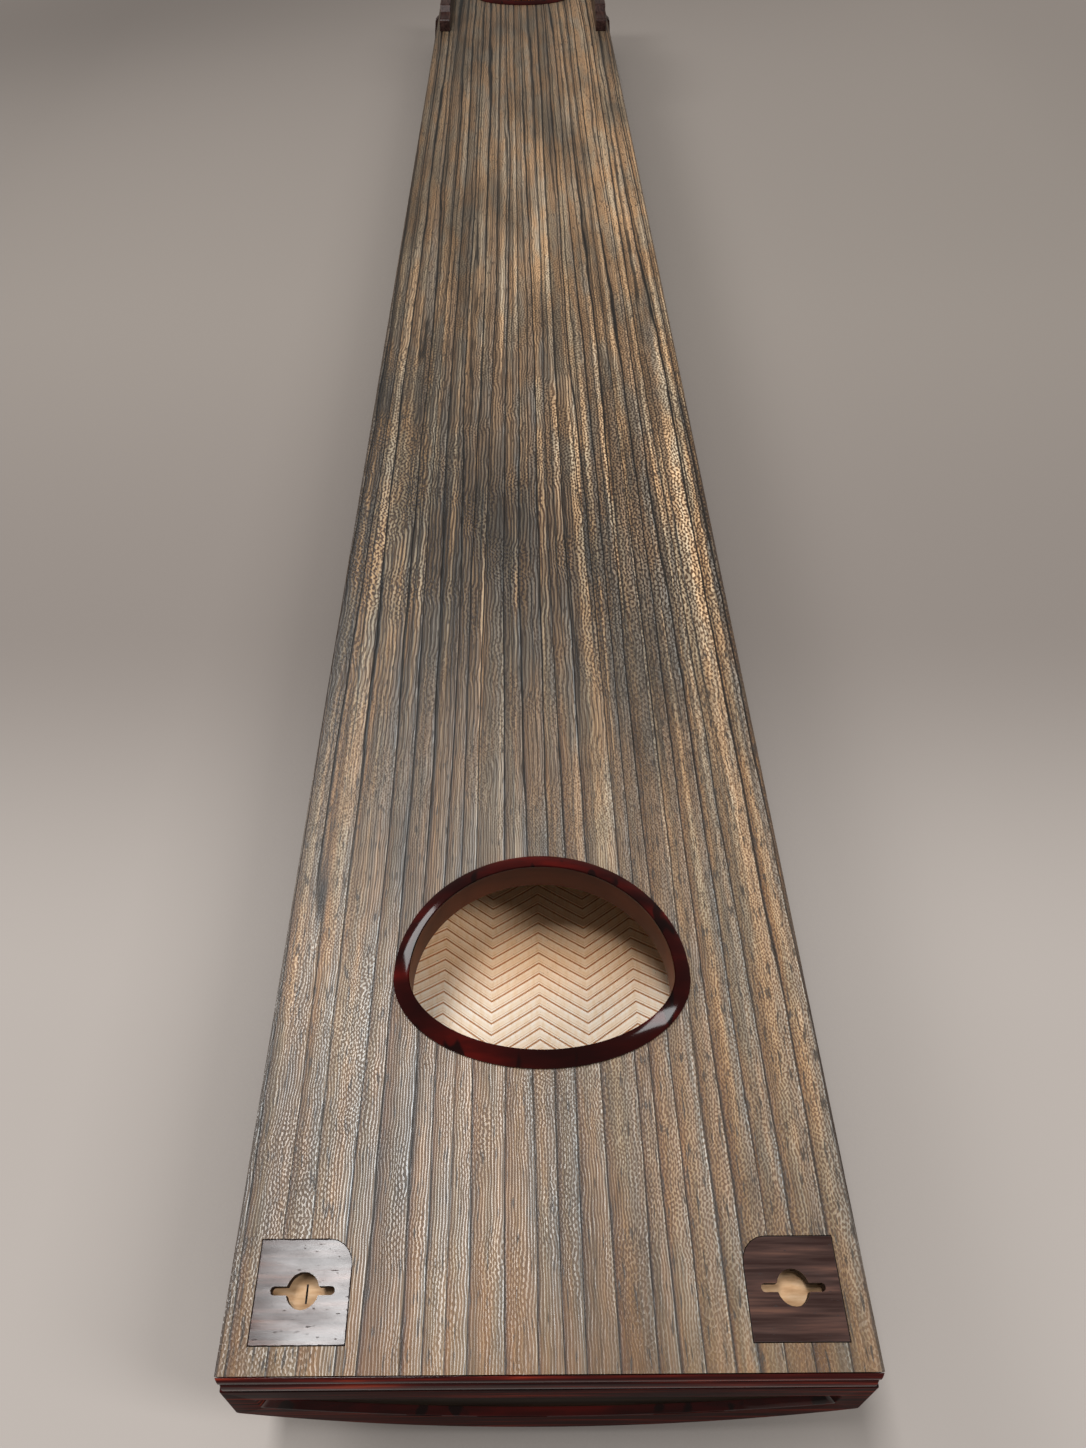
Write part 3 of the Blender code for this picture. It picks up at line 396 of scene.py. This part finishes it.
def carve_bay(name, near, far):
    """The carved floor of the hollow between two plates across it."""
    half_groove = GROOVE_WIDTH / 2 / CARVING_PITCH
    steps = (0.0, half_groove, 0.5, 1 - half_groove)
    first = math.floor((near - ZIGZAG_RISE) / CARVING_PITCH) - 1
    last = math.ceil(far / CARVING_PITCH) + 1
    rows = [(first + number + step) * CARVING_PITCH for number in range(last - first) for step in steps]
    side_columns = ZIGZAG_FOLDS * FOLD_COLUMNS
    columns = [ZIGZAG * number / FOLD_COLUMNS for number in range(-side_columns, side_columns + 1)]
    shape = bmesh.new()
    count_layer = shape.verts.layers.float.new("groove_count")
    bmesh.ops.create_grid(shape, x_segments=len(columns) - 1, y_segments=len(rows) - 1, size=1.0)
    for vert in shape.verts:
        column = round((vert.co.x + 1) / 2 * (len(columns) - 1))
        row = round((vert.co.y + 1) / 2 * (len(rows) - 1))
        vert.co = (columns[column], rows[row] + zigzag(columns[column]), 0)
    cuts = [((0, near, 0), (0, -1, 0)), ((0, far, 0), (0, 1, 0))]
    cuts += [((side * CARVED_HALF, 0, 0), (side, 0, 0)) for side in (-1, 1)]
    for point, outwards in cuts:
        geometry = shape.verts[:] + shape.edges[:] + shape.faces[:]
        bmesh.ops.bisect_plane(shape, geom=geometry, plane_co=point, plane_no=outwards, clear_outer=True)
    raised = bmesh.ops.extrude_face_region(shape, geom=shape.faces[:])["geom"]
    carved = {item for item in raised if isinstance(item, bmesh.types.BMVert)}
    for vert in shape.verts:
        x, y = vert.co.x, vert.co.y
        if vert in carved:
            count = (y - zigzag(x)) / CARVING_PITCH
            vert[count_layer] = count
            vert.co.z = arched(x, CARVED_RADIUS + GROOVE_DEPTH * groove_depth(count))
        else:
            vert.co.z = arched(x, UNDER_RADIUS)
    bmesh.ops.recalc_face_normals(shape, faces=shape.faces)
    mesh = bpy.data.meshes.new(name)
    shape.to_mesh(mesh)
    shape.free()
    piece = bpy.data.objects.new(name, mesh)
    bpy.context.scene.collection.objects.link(piece)
    mesh.materials.append(raw)
    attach(piece, "root")


# Raw paulownia, gouged and planed: pale and matt, with brown pores, and browner in the bottoms of the
# grooves, which is painted shade. Beyond the middle of the head sound hole it is tinted browner, as
# painted shade under the board.
RAW_GRAIN = 2.0 * MM
CLEFT = 0.9 * MM
# Between these two values of a noise or of Y in metres, out of this effect into this one
RAW_EFFECTS = {"flecked": (0.70, 0.78, 1.0, 0.62), "aged": (-0.75, -0.72, 0.0, 0.75)}
raw, tree, shader = new_material("raw_gouged_paulownia")
place = add(tree, "TexCoord").outputs["Object"]
stretched = add(tree, "Mapping", {0: place, 3: (1, 0.3, 1)}).outputs[0]
grain = add(tree, "TexNoise", {"Vector": stretched, "Scale": 1 / RAW_GRAIN, "Detail": 4.0}).outputs[0]
pale = add(
    tree, "ValToRGB", [grain], stops=[(0.3, "#F8E4CA"), (0.72, "#FFF8EC"), (0.5, "#FFF0DE")]
).outputs[0]
count = add(tree, "Attribute", attribute_name="groove_count").outputs["Fac"]
across_land = add(tree, "Math", [count], operation="FRACT").outputs[0]
# Painted shade: the colour is darker and browner in the bottoms of the grooves.
gouged = add(
    tree,
    "ValToRGB",
    [across_land],
    stops=[
        (0.0, "#B5855A"), (1.0, "#B5855A"), (0.05, "#C79B72"), (0.10, "#FFFFFF"), (0.20, "#FBF6EE"),
        (0.25, "#CFAE8C"), (0.30, "#F8F0E6"), (0.55, "#F4EADD"), (0.80, "#FFFFFF"), (0.93, "#F4EBE0"),
    ],
).outputs[0]
cleft = add(tree, "TexNoise", {"Vector": place, "Scale": 1 / CLEFT, "Detail": 1.0}).outputs[0]
flecked = add(tree, "MapRange", [cleft, *RAW_EFFECTS["flecked"]]).outputs[0]
tinted = add(tree, "VectorMath", [pale, gouged], operation="MULTIPLY").outputs[0]
specked = add(tree, "VectorMath", {0: tinted, 3: flecked}, operation="SCALE").outputs[0]
axes = add(tree, "SeparateXYZ", [place]).outputs
# Painted shade: from the middle of the head sound hole on, the hollow is tinted browner, as it lies in
# shade.
aged = add(tree, "MapRange", [axes[1], *RAW_EFFECTS["aged"]]).outputs[0]
shade_tints = {0: aged, 6: linear("#FFFFFF"), 7: linear("#FFDDB6")}
brown = add(tree, "Mix", shade_tints, data_type="RGBA").outputs[2]
shade_tinted = add(tree, "VectorMath", [specked, brown], operation="MULTIPLY").outputs[0]
tree.links.new(shade_tinted, shader.inputs["Base Color"])
bump = add(tree, "Bump", {"Height": grain, "Strength": 0.4, "Distance": 0.2 * MM})
tree.links.new(bump.outputs[0], shader.inputs["Normal"])
shader.inputs["Roughness"].default_value = 0.75
across = ["head_bulkhead", "cross_brace_1", "cross_brace_2", "cross_brace_3", "tail_bulkhead"]
dress(raw, *across)
boxes = [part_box(name) for name in across]
for number, (behind, ahead) in enumerate(zip(boxes, boxes[1:])):
    carve_bay(f"carved_floor_{number + 1}", behind[1].y + CARVED_CLEAR, ahead[0].y - CARVED_CLEAR)

# Sound hole rims: each a ring of red rosewood, domed and French polished to a mirror, with a collar of
# the same wood that is only sanded, and lines the hole through the board. It is glued over the edge.
RIM_RISE = 4.0 * MM
RIM_EDGE = 0.8 * MM
RIM_SUNK = 0.3 * MM
RIM_WIDTH = 7.7 * MM
COLLAR_DEPTH = 15.3 * MM
COLLAR_WALL = 3.0 * MM
HOLE_TOWARDS_HEAD = 43.3 * MM
RIM_COLUMNS = 144
DOME_STEPS = 14
RIM_SLOPES = (34, 14)
LIP_STEPS = 4
LIP_FROM = math.radians(45)
WELD = 0.01 * MM
SMOOTH_BELOW = math.radians(50)
BLOTCH = 9.0 * MM
STAINED = (0.61, 0.66, 0.0, 0.85)


def rosewood(name, along, stretch, vein, tones, roughness=0.5, ior=1.5):
    """Rosewood: its grain along one axis, veins this far apart, tones as (place in the noise, colour).

    Returns the material, and what more can be built on: its tree, shader, place and tone.
    """
    made, tree, shader = new_material(name)
    place = add(tree, "TexCoord").outputs["Object"]
    scale = tuple(stretch if axis == along else 1.0 for axis in "XYZ")
    drawn = add(tree, "Mapping", {0: place, 3: scale}).outputs[0]
    veins = add(tree, "TexNoise", {"Vector": drawn, "Scale": 1 / vein, "Detail": 4.0}).outputs[0]
    tone = add(tree, "ValToRGB", [veins], stops=tones).outputs[0]
    tree.links.new(tone, shader.inputs["Base Color"])
    shader.inputs["Roughness"].default_value = roughness
    shader.inputs["IOR"].default_value = ior
    return made, tree, shader, place, tone


def rim_profile():
    """A rim's section, as (inset from its outline, rise above the board), and where its collar starts."""
    start, end = [math.radians(slope) for slope in RIM_SLOPES]
    radius = (RIM_RISE - RIM_EDGE) / (math.cos(end) - math.cos(start))
    points = [(0.0, -RIM_SUNK)]
    for step in range(DOME_STEPS + 1):
        turn = start + (end - start) * step / DOME_STEPS
        inset = radius * (math.sin(start) - math.sin(turn))
        points.append((inset, RIM_EDGE + radius * (math.cos(turn) - math.cos(start))))
    across, top = points[-1]
    lip = RIM_WIDTH - across
    lip_radius = lip / (1 - math.sin(LIP_FROM))
    for step in range(1, LIP_STEPS + 1):
        turn = LIP_FROM + (math.pi / 2 - LIP_FROM) * step / LIP_STEPS
        inset = across + lip_radius * (math.sin(turn) - math.sin(LIP_FROM))
        points.append((inset, top - lip_radius * (math.cos(LIP_FROM) - math.cos(turn))))
    collar_from = len(points) - 1
    points += [(RIM_WIDTH, -COLLAR_DEPTH), (RIM_WIDTH - COLLAR_WALL, -COLLAR_DEPTH)]
    points += [(RIM_WIDTH - COLLAR_WALL, -RIM_SUNK), points[0]]
    return points, collar_from


def make_rim(node):
    """A rim in the place of its CAD node."""
    low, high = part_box(node)
    half = (high.x - low.x) / 2
    centre = low.y + HOLE_TOWARDS_HEAD
    beyond = high.y - centre
    profile, collar_from = rim_profile()
    shape = bmesh.new()
    rows = len(profile) - 1
    bmesh.ops.create_grid(shape, x_segments=RIM_COLUMNS, y_segments=rows, size=1.0)
    for face in shape.faces:
        row = (face.calc_center_median().y + 1) / 2 * rows
        face.material_index = 1 if row > collar_from else 0
        face.smooth = True
    for vert in shape.verts:
        column = round((vert.co.x + 1) / 2 * RIM_COLUMNS) % RIM_COLUMNS
        turn = math.pi * (1 + column * 2 / RIM_COLUMNS)
        inset, rise = profile[round((vert.co.y + 1) / 2 * rows)]
        reach = beyond if math.sin(turn) > 0 else HOLE_TOWARDS_HEAD
        out = Vector((math.cos(turn) / half, math.sin(turn) / reach)).normalized()
        x = half * math.cos(turn) - out.x * inset
        y = centre + (reach * math.sin(turn) - out.y * inset)
        vert.co = (x, y, BACK_Z + rise)
    bmesh.ops.remove_doubles(shape, verts=shape.verts, dist=WELD)
    bmesh.ops.recalc_face_normals(shape, faces=shape.faces)
    finish(shape, node + "_polished", "red_rosewood", (polished_rim, sanded_collar), node)


def finish(shape, name, slot, materials, *replaced):
    """Turns a bmesh into a piece of the koto, in the place of CAD nodes."""
    mesh = bpy.data.meshes.new(name)
    shape.to_mesh(mesh)
    shape.free()
    mesh.set_sharp_from_angle(angle=SMOOTH_BELOW)
    for material in materials:
        mesh.materials.append(material)
    piece = bpy.data.objects.new(name, mesh)
    bpy.context.scene.collection.objects.link(piece)
    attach(piece, "root")
    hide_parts(*replaced)
    return piece


# Red rosewood under French polish: clear deep maroon, redder where the light gets into it, with a few
# near-black veins, and a mirror gloss.
polished_rim, tree, shader, place, tone = rosewood(
    "french_polished_red_rosewood",
    along="X",
    stretch=0.25,
    vein=16 * MM,
    tones=[(0.34, "#1A0303"), (0.68, "#4C0B07"), (0.50, "#280504"), (0.60, "#380705")],
    roughness=0.09,
    ior=1.34,
)
blotch_at = add(tree, "Mapping", {0: place, 3: (1, 0.4, 1)}).outputs[0]
blotch = add(tree, "TexNoise", {"Vector": blotch_at, "Scale": 1 / BLOTCH, "Detail": 1.0}).outputs[0]
stained = add(tree, "MapRange", [blotch, *STAINED]).outputs[0]
dark = add(tree, "Mix", {0: stained, 6: tone, 7: linear("#0B0303")}, data_type="RGBA").outputs[2]
tree.links.new(dark, shader.inputs["Base Color"])

# The same wood, sanded but not polished: a warm dull brown that glows a little under the lit carving.
sanded_collar = rosewood(
    "sanded_rosewood",
    along="X",
    stretch=0.3,
    vein=22 * MM,
    tones=[(0.3, "#3E1508"), (0.7, "#602812")],
    roughness=0.4,
    ior=1.2,
)[0]
make_rim("head_sound_hole_rim")
make_rim("tail_sound_hole_rim")

# End frames and edge mouldings: rosewood planed to a slant round an arched mouth, with two beads run along
# the board's edge above it. The slanted face is only oiled; the beads and the mouth's cove are polished.
ROUND = 0.5 * MM
BEAD_ROUND = 0.2 * MM
ROUND_STEPS = 3
SHARP = math.radians(30)
FLAT = math.radians(1)
COVE_TILT = 0.15
END_DEPTH = 1 * MM
MITRE = 0.55
oiled_face = rosewood(
    "oiled_dark_red_rosewood",
    along="X",
    stretch=0.03,
    vein=1.8 * MM,
    tones=[(0.36, "#1E0908"), (0.74, "#8C3018"), (0.50, "#340E0A"), (0.60, "#541810")],
    roughness=0.3,
    ior=1.03,
)[0]
polished_bead = rosewood(
    "polished_streaked_rosewood",
    along="X",
    stretch=0.03,
    vein=1.5 * MM,
    tones=[(0.36, "#240807"), (0.76, "#A03A20"), (0.52, "#3A0D0A"), (0.63, "#5A1810")],
    roughness=0.13,
    ior=1.42,
)[0]


def rounded_copy(node, slot, material, width=ROUND, upturned=None, mitre=0.0):
    """A copy of a CAD node with softened arrises; its upturned faces can have a finish of their own.

    The mitre is how far its ends are cut back for each metre that it stands out from the board's end.
    """
    shape = bmesh.new()
    shape.from_mesh(nodes[node].data)
    bmesh.ops.remove_doubles(shape, verts=shape.verts, dist=WELD)
    bmesh.ops.dissolve_limit(
        shape,
        angle_limit=FLAT,
        verts=shape.verts,
        edges=shape.edges,
        use_dissolve_boundaries=False,
    )
    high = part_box(node)[1]
    for vert in shape.verts:
        out = max(board_low.y - vert.co.y, vert.co.y - board_high.y, 0)
        if mitre and high.x - abs(vert.co.x) < END_DEPTH:
            vert.co.x -= math.copysign(mitre * out, vert.co.x)
    for face in shape.faces:
        face.smooth = True
        face.material_index = 1 if upturned and face.normal.z > COVE_TILT else 0
    looks = [look for look in (material, upturned) if look]
    piece = finish(shape, node + "_finished", slot, looks, node)
    softened = piece.modifiers.new("softened_arrises", "BEVEL")
    softened.width = width
    softened.segments = ROUND_STEPS
    softened.limit_method = "ANGLE"
    softened.angle_limit = SHARP
    softened.harden_normals = True


for end in ("head", "tail"):
    rounded_copy(f"{end}_edge_moulding", "red_rosewood", polished_bead, BEAD_ROUND, mitre=MITRE)
    rounded_copy(f"{end}_end_frame", "red_rosewood", oiled_face, upturned=polished_rim)

# Mouth panels: a thin board let in behind each mouth, lacquered dark olive brown and left bare. The
# lacquer hardly shines.
panel = rosewood(
    "dark_lacquered_panel",
    along="X",
    stretch=0.05,
    vein=3 * MM,
    tones=[(0.35, "#17110C"), (0.68, "#2E231A")],
    roughness=0.3,
    ior=1.05,
)[0]
dress(panel, "head_mouth_panel", "tail_mouth_panel")

# Leg plates: satin rosewood let in flush, with a keyhole for a front leg's peg and cross-pin. The polish
# lies unevenly, so that the plate shines in patches between its open pores. Its edges and the keyhole's
# walls are dark, and on the left plate the shine fades outwards.
PLATE_HALF_WIDTH = 18.0 * MM
PLATE_HALF_LENGTH = 17.45 * MM
RAGGED = 0.6 * MM
MARKS_DULL = 0.5
plate_low, plate_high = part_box("right_leg_plate")
PLATE_X = (plate_low.x + plate_high.x) / 2
PLATE_Y = (plate_low.y + plate_high.y) / 2
# Noises drawn out along the grain: how much of their length they keep, their size across, their detail
PLATE_DRAWN = {
    "pores": (0.3, 0.8 * MM, 1.0),
    "patches": (0.3, 6.0 * MM, 4.0),
    "streaks": (0.12, 3.2 * MM, 2.0),
}
# What a pattern or a place does: between these two values of it, out of this effect into this one
PLATE_EFFECTS = {
    "pored": (0.70, 0.76, 0.0, 0.8),
    "bordered": (-0.20 * MM, -0.02 * MM, 0.9, 0.0),
    "walls": (0.1 * MM, 0.4 * MM, 0.0, 1.0),
    "sheen": (0.36, 0.66, 0.10, 0.22),
    "outwards": (-PLATE_X - PLATE_HALF_WIDTH, -PLATE_X, 0.16, 0.0),
    "polish": (0.48, 0.72, 0.49, 0.36),
}


def inside(tree, *spans):
    """How deep a point lies inside a rectangle: a span is its coordinate, the middle, half the length."""
    depths = []
    for spot, middle, half in spans:
        off = add(tree, "Math", [spot, middle], operation="SUBTRACT").outputs[0]
        reach = add(tree, "Math", [off], operation="ABSOLUTE").outputs[0]
        depths.append(add(tree, "Math", [half, reach], operation="SUBTRACT").outputs[0])
    return add(tree, "Math", depths, operation="MINIMUM").outputs[0]


plates, tree, shader, place, tone = rosewood(
    "satin_rosewood_plate",
    along="X",
    stretch=0.05,
    vein=2.0 * MM,
    tones=[(0.36, "#31211E"), (0.72, "#66493E"), (0.50, "#41302C"), (0.60, "#503A34")],
    ior=1.36,
)
drawn = {}
for pattern, (kept, size, detail) in PLATE_DRAWN.items():
    at = add(tree, "Mapping", {0: place, 3: (kept, 1, 1)}).outputs[0]
    drawn[pattern] = add(tree, "TexNoise", {"Vector": at, "Scale": 1 / size, "Detail": detail}).outputs[0]
axes = add(tree, "SeparateXYZ", [place]).outputs
side = add(tree, "Math", [axes[0]], operation="ABSOLUTE").outputs[0]
inset = inside(tree, (side, PLATE_X, PLATE_HALF_WIDTH), (axes[1], PLATE_Y, PLATE_HALF_LENGTH))
ragged = add(tree, "Math", [drawn["pores"], -RAGGED, inset], operation="MULTIPLY_ADD").outputs[0]
bordered = add(tree, "MapRange", [ragged, *PLATE_EFFECTS["bordered"]]).outputs[0]
sunk = add(tree, "Math", [BACK_Z, axes[2]], operation="SUBTRACT").outputs[0]
walls = add(tree, "MapRange", [sunk, *PLATE_EFFECTS["walls"]]).outputs[0]
marked = add(tree, "MapRange", [drawn["pores"], *PLATE_EFFECTS["pored"]]).outputs[0]
for mark in (bordered, walls):
    marked = add(tree, "Math", [marked, mark], operation="MAXIMUM").outputs[0]
worn = add(tree, "Mix", {0: marked, 6: tone, 7: linear("#1F0B08")}, data_type="RGBA").outputs[2]
tree.links.new(worn, shader.inputs["Base Color"])
sheen = add(tree, "MapRange", [drawn["patches"], *PLATE_EFFECTS["sheen"]]).outputs[0]
dull = add(tree, "Math", [marked, MARKS_DULL, sheen], operation="MULTIPLY_ADD").outputs[0]
tree.links.new(dull, shader.inputs["Roughness"])
dent = add(tree, "Bump", {"Height": drawn["patches"], "Strength": 0.12, "Distance": 0.1 * MM})
tree.links.new(dent.outputs[0], shader.inputs["Normal"])
outwards = add(tree, "MapRange", [axes[0], *PLATE_EFFECTS["outwards"]]).outputs[0]
worn_off = add(tree, "Math", [drawn["streaks"], outwards], operation="ADD").outputs[0]
polish = add(tree, "MapRange", [worn_off, *PLATE_EFFECTS["polish"]]).outputs[0]
tree.links.new(polish, shader.inputs["Specular IOR Level"])
dress(plates, "left_leg_plate", "right_leg_plate")

# Leg blocks: raw paulownia under each plate, planed across, with a small dark slit painted on the left
# one.
# They show as the pale floor of each keyhole.
SAW_MARK_HALF_WIDTH = 0.4 * MM
SAW_MARK_HALF_LENGTH = 3.3 * MM
KEY_Y = -0.8832
STREAK = 2.2 * MM
planed, tree, shader = new_material("planed_paulownia_block")
place = add(tree, "TexCoord").outputs["Object"]
crossed = add(tree, "Mapping", {0: place, 3: (0.25, 1, 1)}).outputs[0]
streak = add(tree, "TexNoise", {"Vector": crossed, "Scale": 1 / STREAK, "Detail": 4.0}).outputs[0]
tan = add(
    tree, "ValToRGB", [streak], stops=[(0.3, "#C4966A"), (0.7, "#EFC9A0"), (0.5, "#DFB487")]
).outputs[0]
axes = add(tree, "SeparateXYZ", [place]).outputs
sides = (axes[0], -PLATE_X, SAW_MARK_HALF_WIDTH)
ends = (axes[1], KEY_Y, SAW_MARK_HALF_LENGTH)
sawn = add(tree, "Math", [inside(tree, sides, ends), 0.0], operation="GREATER_THAN").outputs[0]
slit = add(tree, "Mix", {0: sawn, 6: tan, 7: linear("#2A1C12")}, data_type="RGBA").outputs[2]
tree.links.new(slit, shader.inputs["Base Color"])
shader.inputs["Roughness"].default_value = 0.7
dress(planed, "left_leg_block", "right_leg_block")

# Ridges, feet and leaf plate: dark rosewood, rubbed with oil to a soft shine, with every arris softened
# a little. The grain runs along the koto.
dark_wood = rosewood(
    "oiled_dark_rosewood",
    along="Y",
    stretch=0.06,
    vein=1.8 * MM,
    tones=[(0.35, "#1E1110"), (0.68, "#45302B")],
    roughness=0.32,
    ior=1.25,
)[0]
for name in ("left_tail_foot", "right_tail_foot", "head_ridge", "tail_ridge", "tail_leaf_plate"):
    rounded_copy(name, "dark_rosewood", dark_wood)

# Crest strips: cast resin like old ivory, let into the ridges where the strings bear. It is cream with
# faint long grain lines, and half glossy.
IVORY_LAYER = 1.2 * MM
ivory, tree, shader = new_material("ivory_resin")
place = add(tree, "TexCoord").outputs["Object"]
drawn = add(tree, "Mapping", {0: place, 3: (0.05, 1, 1)}).outputs[0]
layers = add(tree, "TexNoise", {"Vector": drawn, "Scale": 1 / IVORY_LAYER, "Detail": 3.0}).outputs[0]
cream = add(tree, "ValToRGB", [layers], stops=[(0.35, "#D9CBA8"), (0.65, "#EFE7D3")]).outputs[0]
tree.links.new(cream, shader.inputs["Base Color"])
shader.inputs["Roughness"].default_value = 0.35
dress(ivory, "head_ridge_crest", "tail_ridge_crest")

# Strings: polyester strands laid into a hard round cord, off-white. The lay shows as slanting ridges with
# painted shade between them, drawn here 3 mm apart, coarser than the real 1 mm, so that they show.
STRAND_LAY = 3.0 * MM
STRAND_SLANT = 1.5
STRAND_LIT = (-1.0, 0.4)
twisted, tree, shader = new_material("twisted_polyester")
place = add(tree, "TexCoord").outputs["Object"]
axes = add(tree, "SeparateXYZ", [place]).outputs
slanted = add(tree, "Math", [axes[2], STRAND_SLANT, axes[1]], operation="MULTIPLY_ADD").outputs[0]
turned = add(tree, "Math", [slanted, 2 * math.pi / STRAND_LAY], operation="MULTIPLY").outputs[0]
strand = add(tree, "Math", [turned], operation="SINE").outputs[0]
strand_share = add(tree, "MapRange", [strand, *STRAND_LIT]).outputs[0]
shaded = add(tree, "ValToRGB", [strand_share], stops=[(0.0, "#A89F85"), (0.8, "#EEE8D6")]).outputs[0]
tree.links.new(shaded, shader.inputs["Base Color"])
bump = add(tree, "Bump", {"Height": strand, "Strength": 0.5, "Distance": 0.2 * MM})
tree.links.new(bump.outputs[0], shader.inputs["Normal"])
shader.inputs["Roughness"].default_value = 0.45
dress(twisted, *[name for name in nodes if name.startswith("string_")])

# The floor is a sweep of matt grey paper, which runs on into the backdrop without an edge. Its colour
# holds
# painted light: brightest in front of the head end and darker beyond it, and a little darker to the left.
# Close to the koto it is painted darker, as painted shade where little light gets in.
FLOOR_HALF = 12.0
BACKDROP = "#968D86"
SHADOW_REACH = 0.12
TILT_AT_HEAD = 0.25
# Between these two values of a distance in metres, or of how open the sky is, out of this into this
FLOOR_EFFECTS = {
    "depth": (-1.0, 1.2, 0.0, 1.0),
    "tilt": (-0.7, 0.7, -0.36, 0.10),
    "shadowed": (0.1, 0.8, 0.30, 1.0),
    "far_off": (1.0, 2.1, 0.0, 1.0),
}
floor_shape = bmesh.new()
bmesh.ops.create_grid(floor_shape, x_segments=1, y_segments=1, size=FLOOR_HALF)
floor_mesh = bpy.data.meshes.new("floor")
floor_shape.to_mesh(floor_mesh)
floor_shape.free()
floor = bpy.data.objects.new("floor", floor_mesh)
bpy.context.scene.collection.objects.link(floor)
paper, tree, shader = new_material("grey_paper")
place = add(tree, "TexCoord").outputs["Object"]
axes = add(tree, "SeparateXYZ", [place]).outputs
# Painted light: the paper's colour falls off along the floor, and darkens to the left.
depth = add(tree, "MapRange", [axes[1], *FLOOR_EFFECTS["depth"]]).outputs[0]
tilt = add(tree, "MapRange", [axes[0], *FLOOR_EFFECTS["tilt"]]).outputs[0]
leaning = add(tree, "Math", [depth, TILT_AT_HEAD], operation="ADD").outputs[0]
evened = add(tree, "Math", [tilt, leaning, 1.0], operation="MULTIPLY_ADD").outputs[0]
painted_light_falloff = add(
    tree,
    "ValToRGB",
    [depth],
    stops=[(0.0, "#B7AFA9"), (1.0, "#A39A93"), (0.12, "#B0A8A2"), (0.26, "#89817B"), (0.5, "#928A83")],
)
painted_light_falloff.color_ramp.interpolation = "EASE"
# Painted shade: the colour darkens where the sky is hidden close to the koto.
open_sky = add(tree, "AmbientOcclusion", {"Distance": SHADOW_REACH}, samples=8).outputs["AO"]
shadowed = add(tree, "MapRange", [open_sky, *FLOOR_EFFECTS["shadowed"]]).outputs[0]
darkened = add(tree, "Math", [evened, shadowed], operation="MULTIPLY").outputs[0]
graded = add(tree, "VectorMath", {0: painted_light_falloff.outputs[0], 3: darkened}, operation="SCALE").outputs[0]
tree.links.new(graded, shader.inputs["Base Color"])
shader.inputs["Roughness"].default_value = 0.9
shader.inputs["IOR"].default_value = 1.2
distance = add(tree, "VectorMath", [place], operation="LENGTH").outputs[1]
fading = [distance, *FLOOR_EFFECTS["far_off"]]
far_off = add(tree, "MapRange", fading, interpolation_type="SMOOTHSTEP").outputs[0]
seen = add(tree, "LightPath").outputs["Is Camera Ray"]
melting = add(tree, "Math", [far_off, seen], operation="MULTIPLY").outputs[0]
backdrop = add(tree, "Emission", {"Color": linear(BACKDROP)}).outputs[0]
mixed = add(tree, "MixShader", [melting, shader.outputs[0], backdrop]).outputs[0]
tree.links.new(mixed, tree.nodes["Material Output"].inputs["Surface"])
floor_mesh.materials.append(paper)

# Light: a long soft box overhead on the left, a lower one behind it that the rim and the beads mirror,
# another on the right, and a dim even world. The camera sees the world as the backdrop's grey.
world = bpy.data.worlds.new("studio")
bpy.context.scene.world = world
world.use_nodes = True
tree = world.node_tree
glow = tree.nodes["Background"]
glow.inputs["Color"].default_value = linear("#DAD6D0")
glow.inputs["Strength"].default_value = 0.26
backdrop = add(tree, "Background", {"Color": linear(BACKDROP)}).outputs[0]
seen = add(tree, "LightPath").outputs["Is Camera Ray"]
mixed = add(tree, "MixShader", [seen, glow.outputs[0], backdrop]).outputs[0]
tree.links.new(mixed, tree.nodes["World Output"].inputs["Surface"])


def soft_box(name, place, target, width, height, power):
    """A rectangular lamp that looks at a point."""
    lamp = bpy.data.lights.new(name, "AREA")
    lamp.shape = "RECTANGLE"
    lamp.size = width
    lamp.size_y = height
    lamp.energy = power
    made = bpy.data.objects.new(name, lamp)
    bpy.context.scene.collection.objects.link(made)
    made.location = place
    made.rotation_euler = (Vector(target) - Vector(place)).to_track_quat("-Z", "Y").to_euler()


soft_box("overhead_left", (-0.42, -0.3, 2.2), target=(-0.42, -0.3, 0), width=0.36, height=1.1, power=34)
soft_box("low_left", (-1.05, 0.34, 1.16), target=(0, -0.75, 0), width=0.66, height=0.60, power=13)
soft_box("right", (1.85, -1.26, 2.4), target=(0, -0.77, 0), width=0.7, height=1.3, power=34)
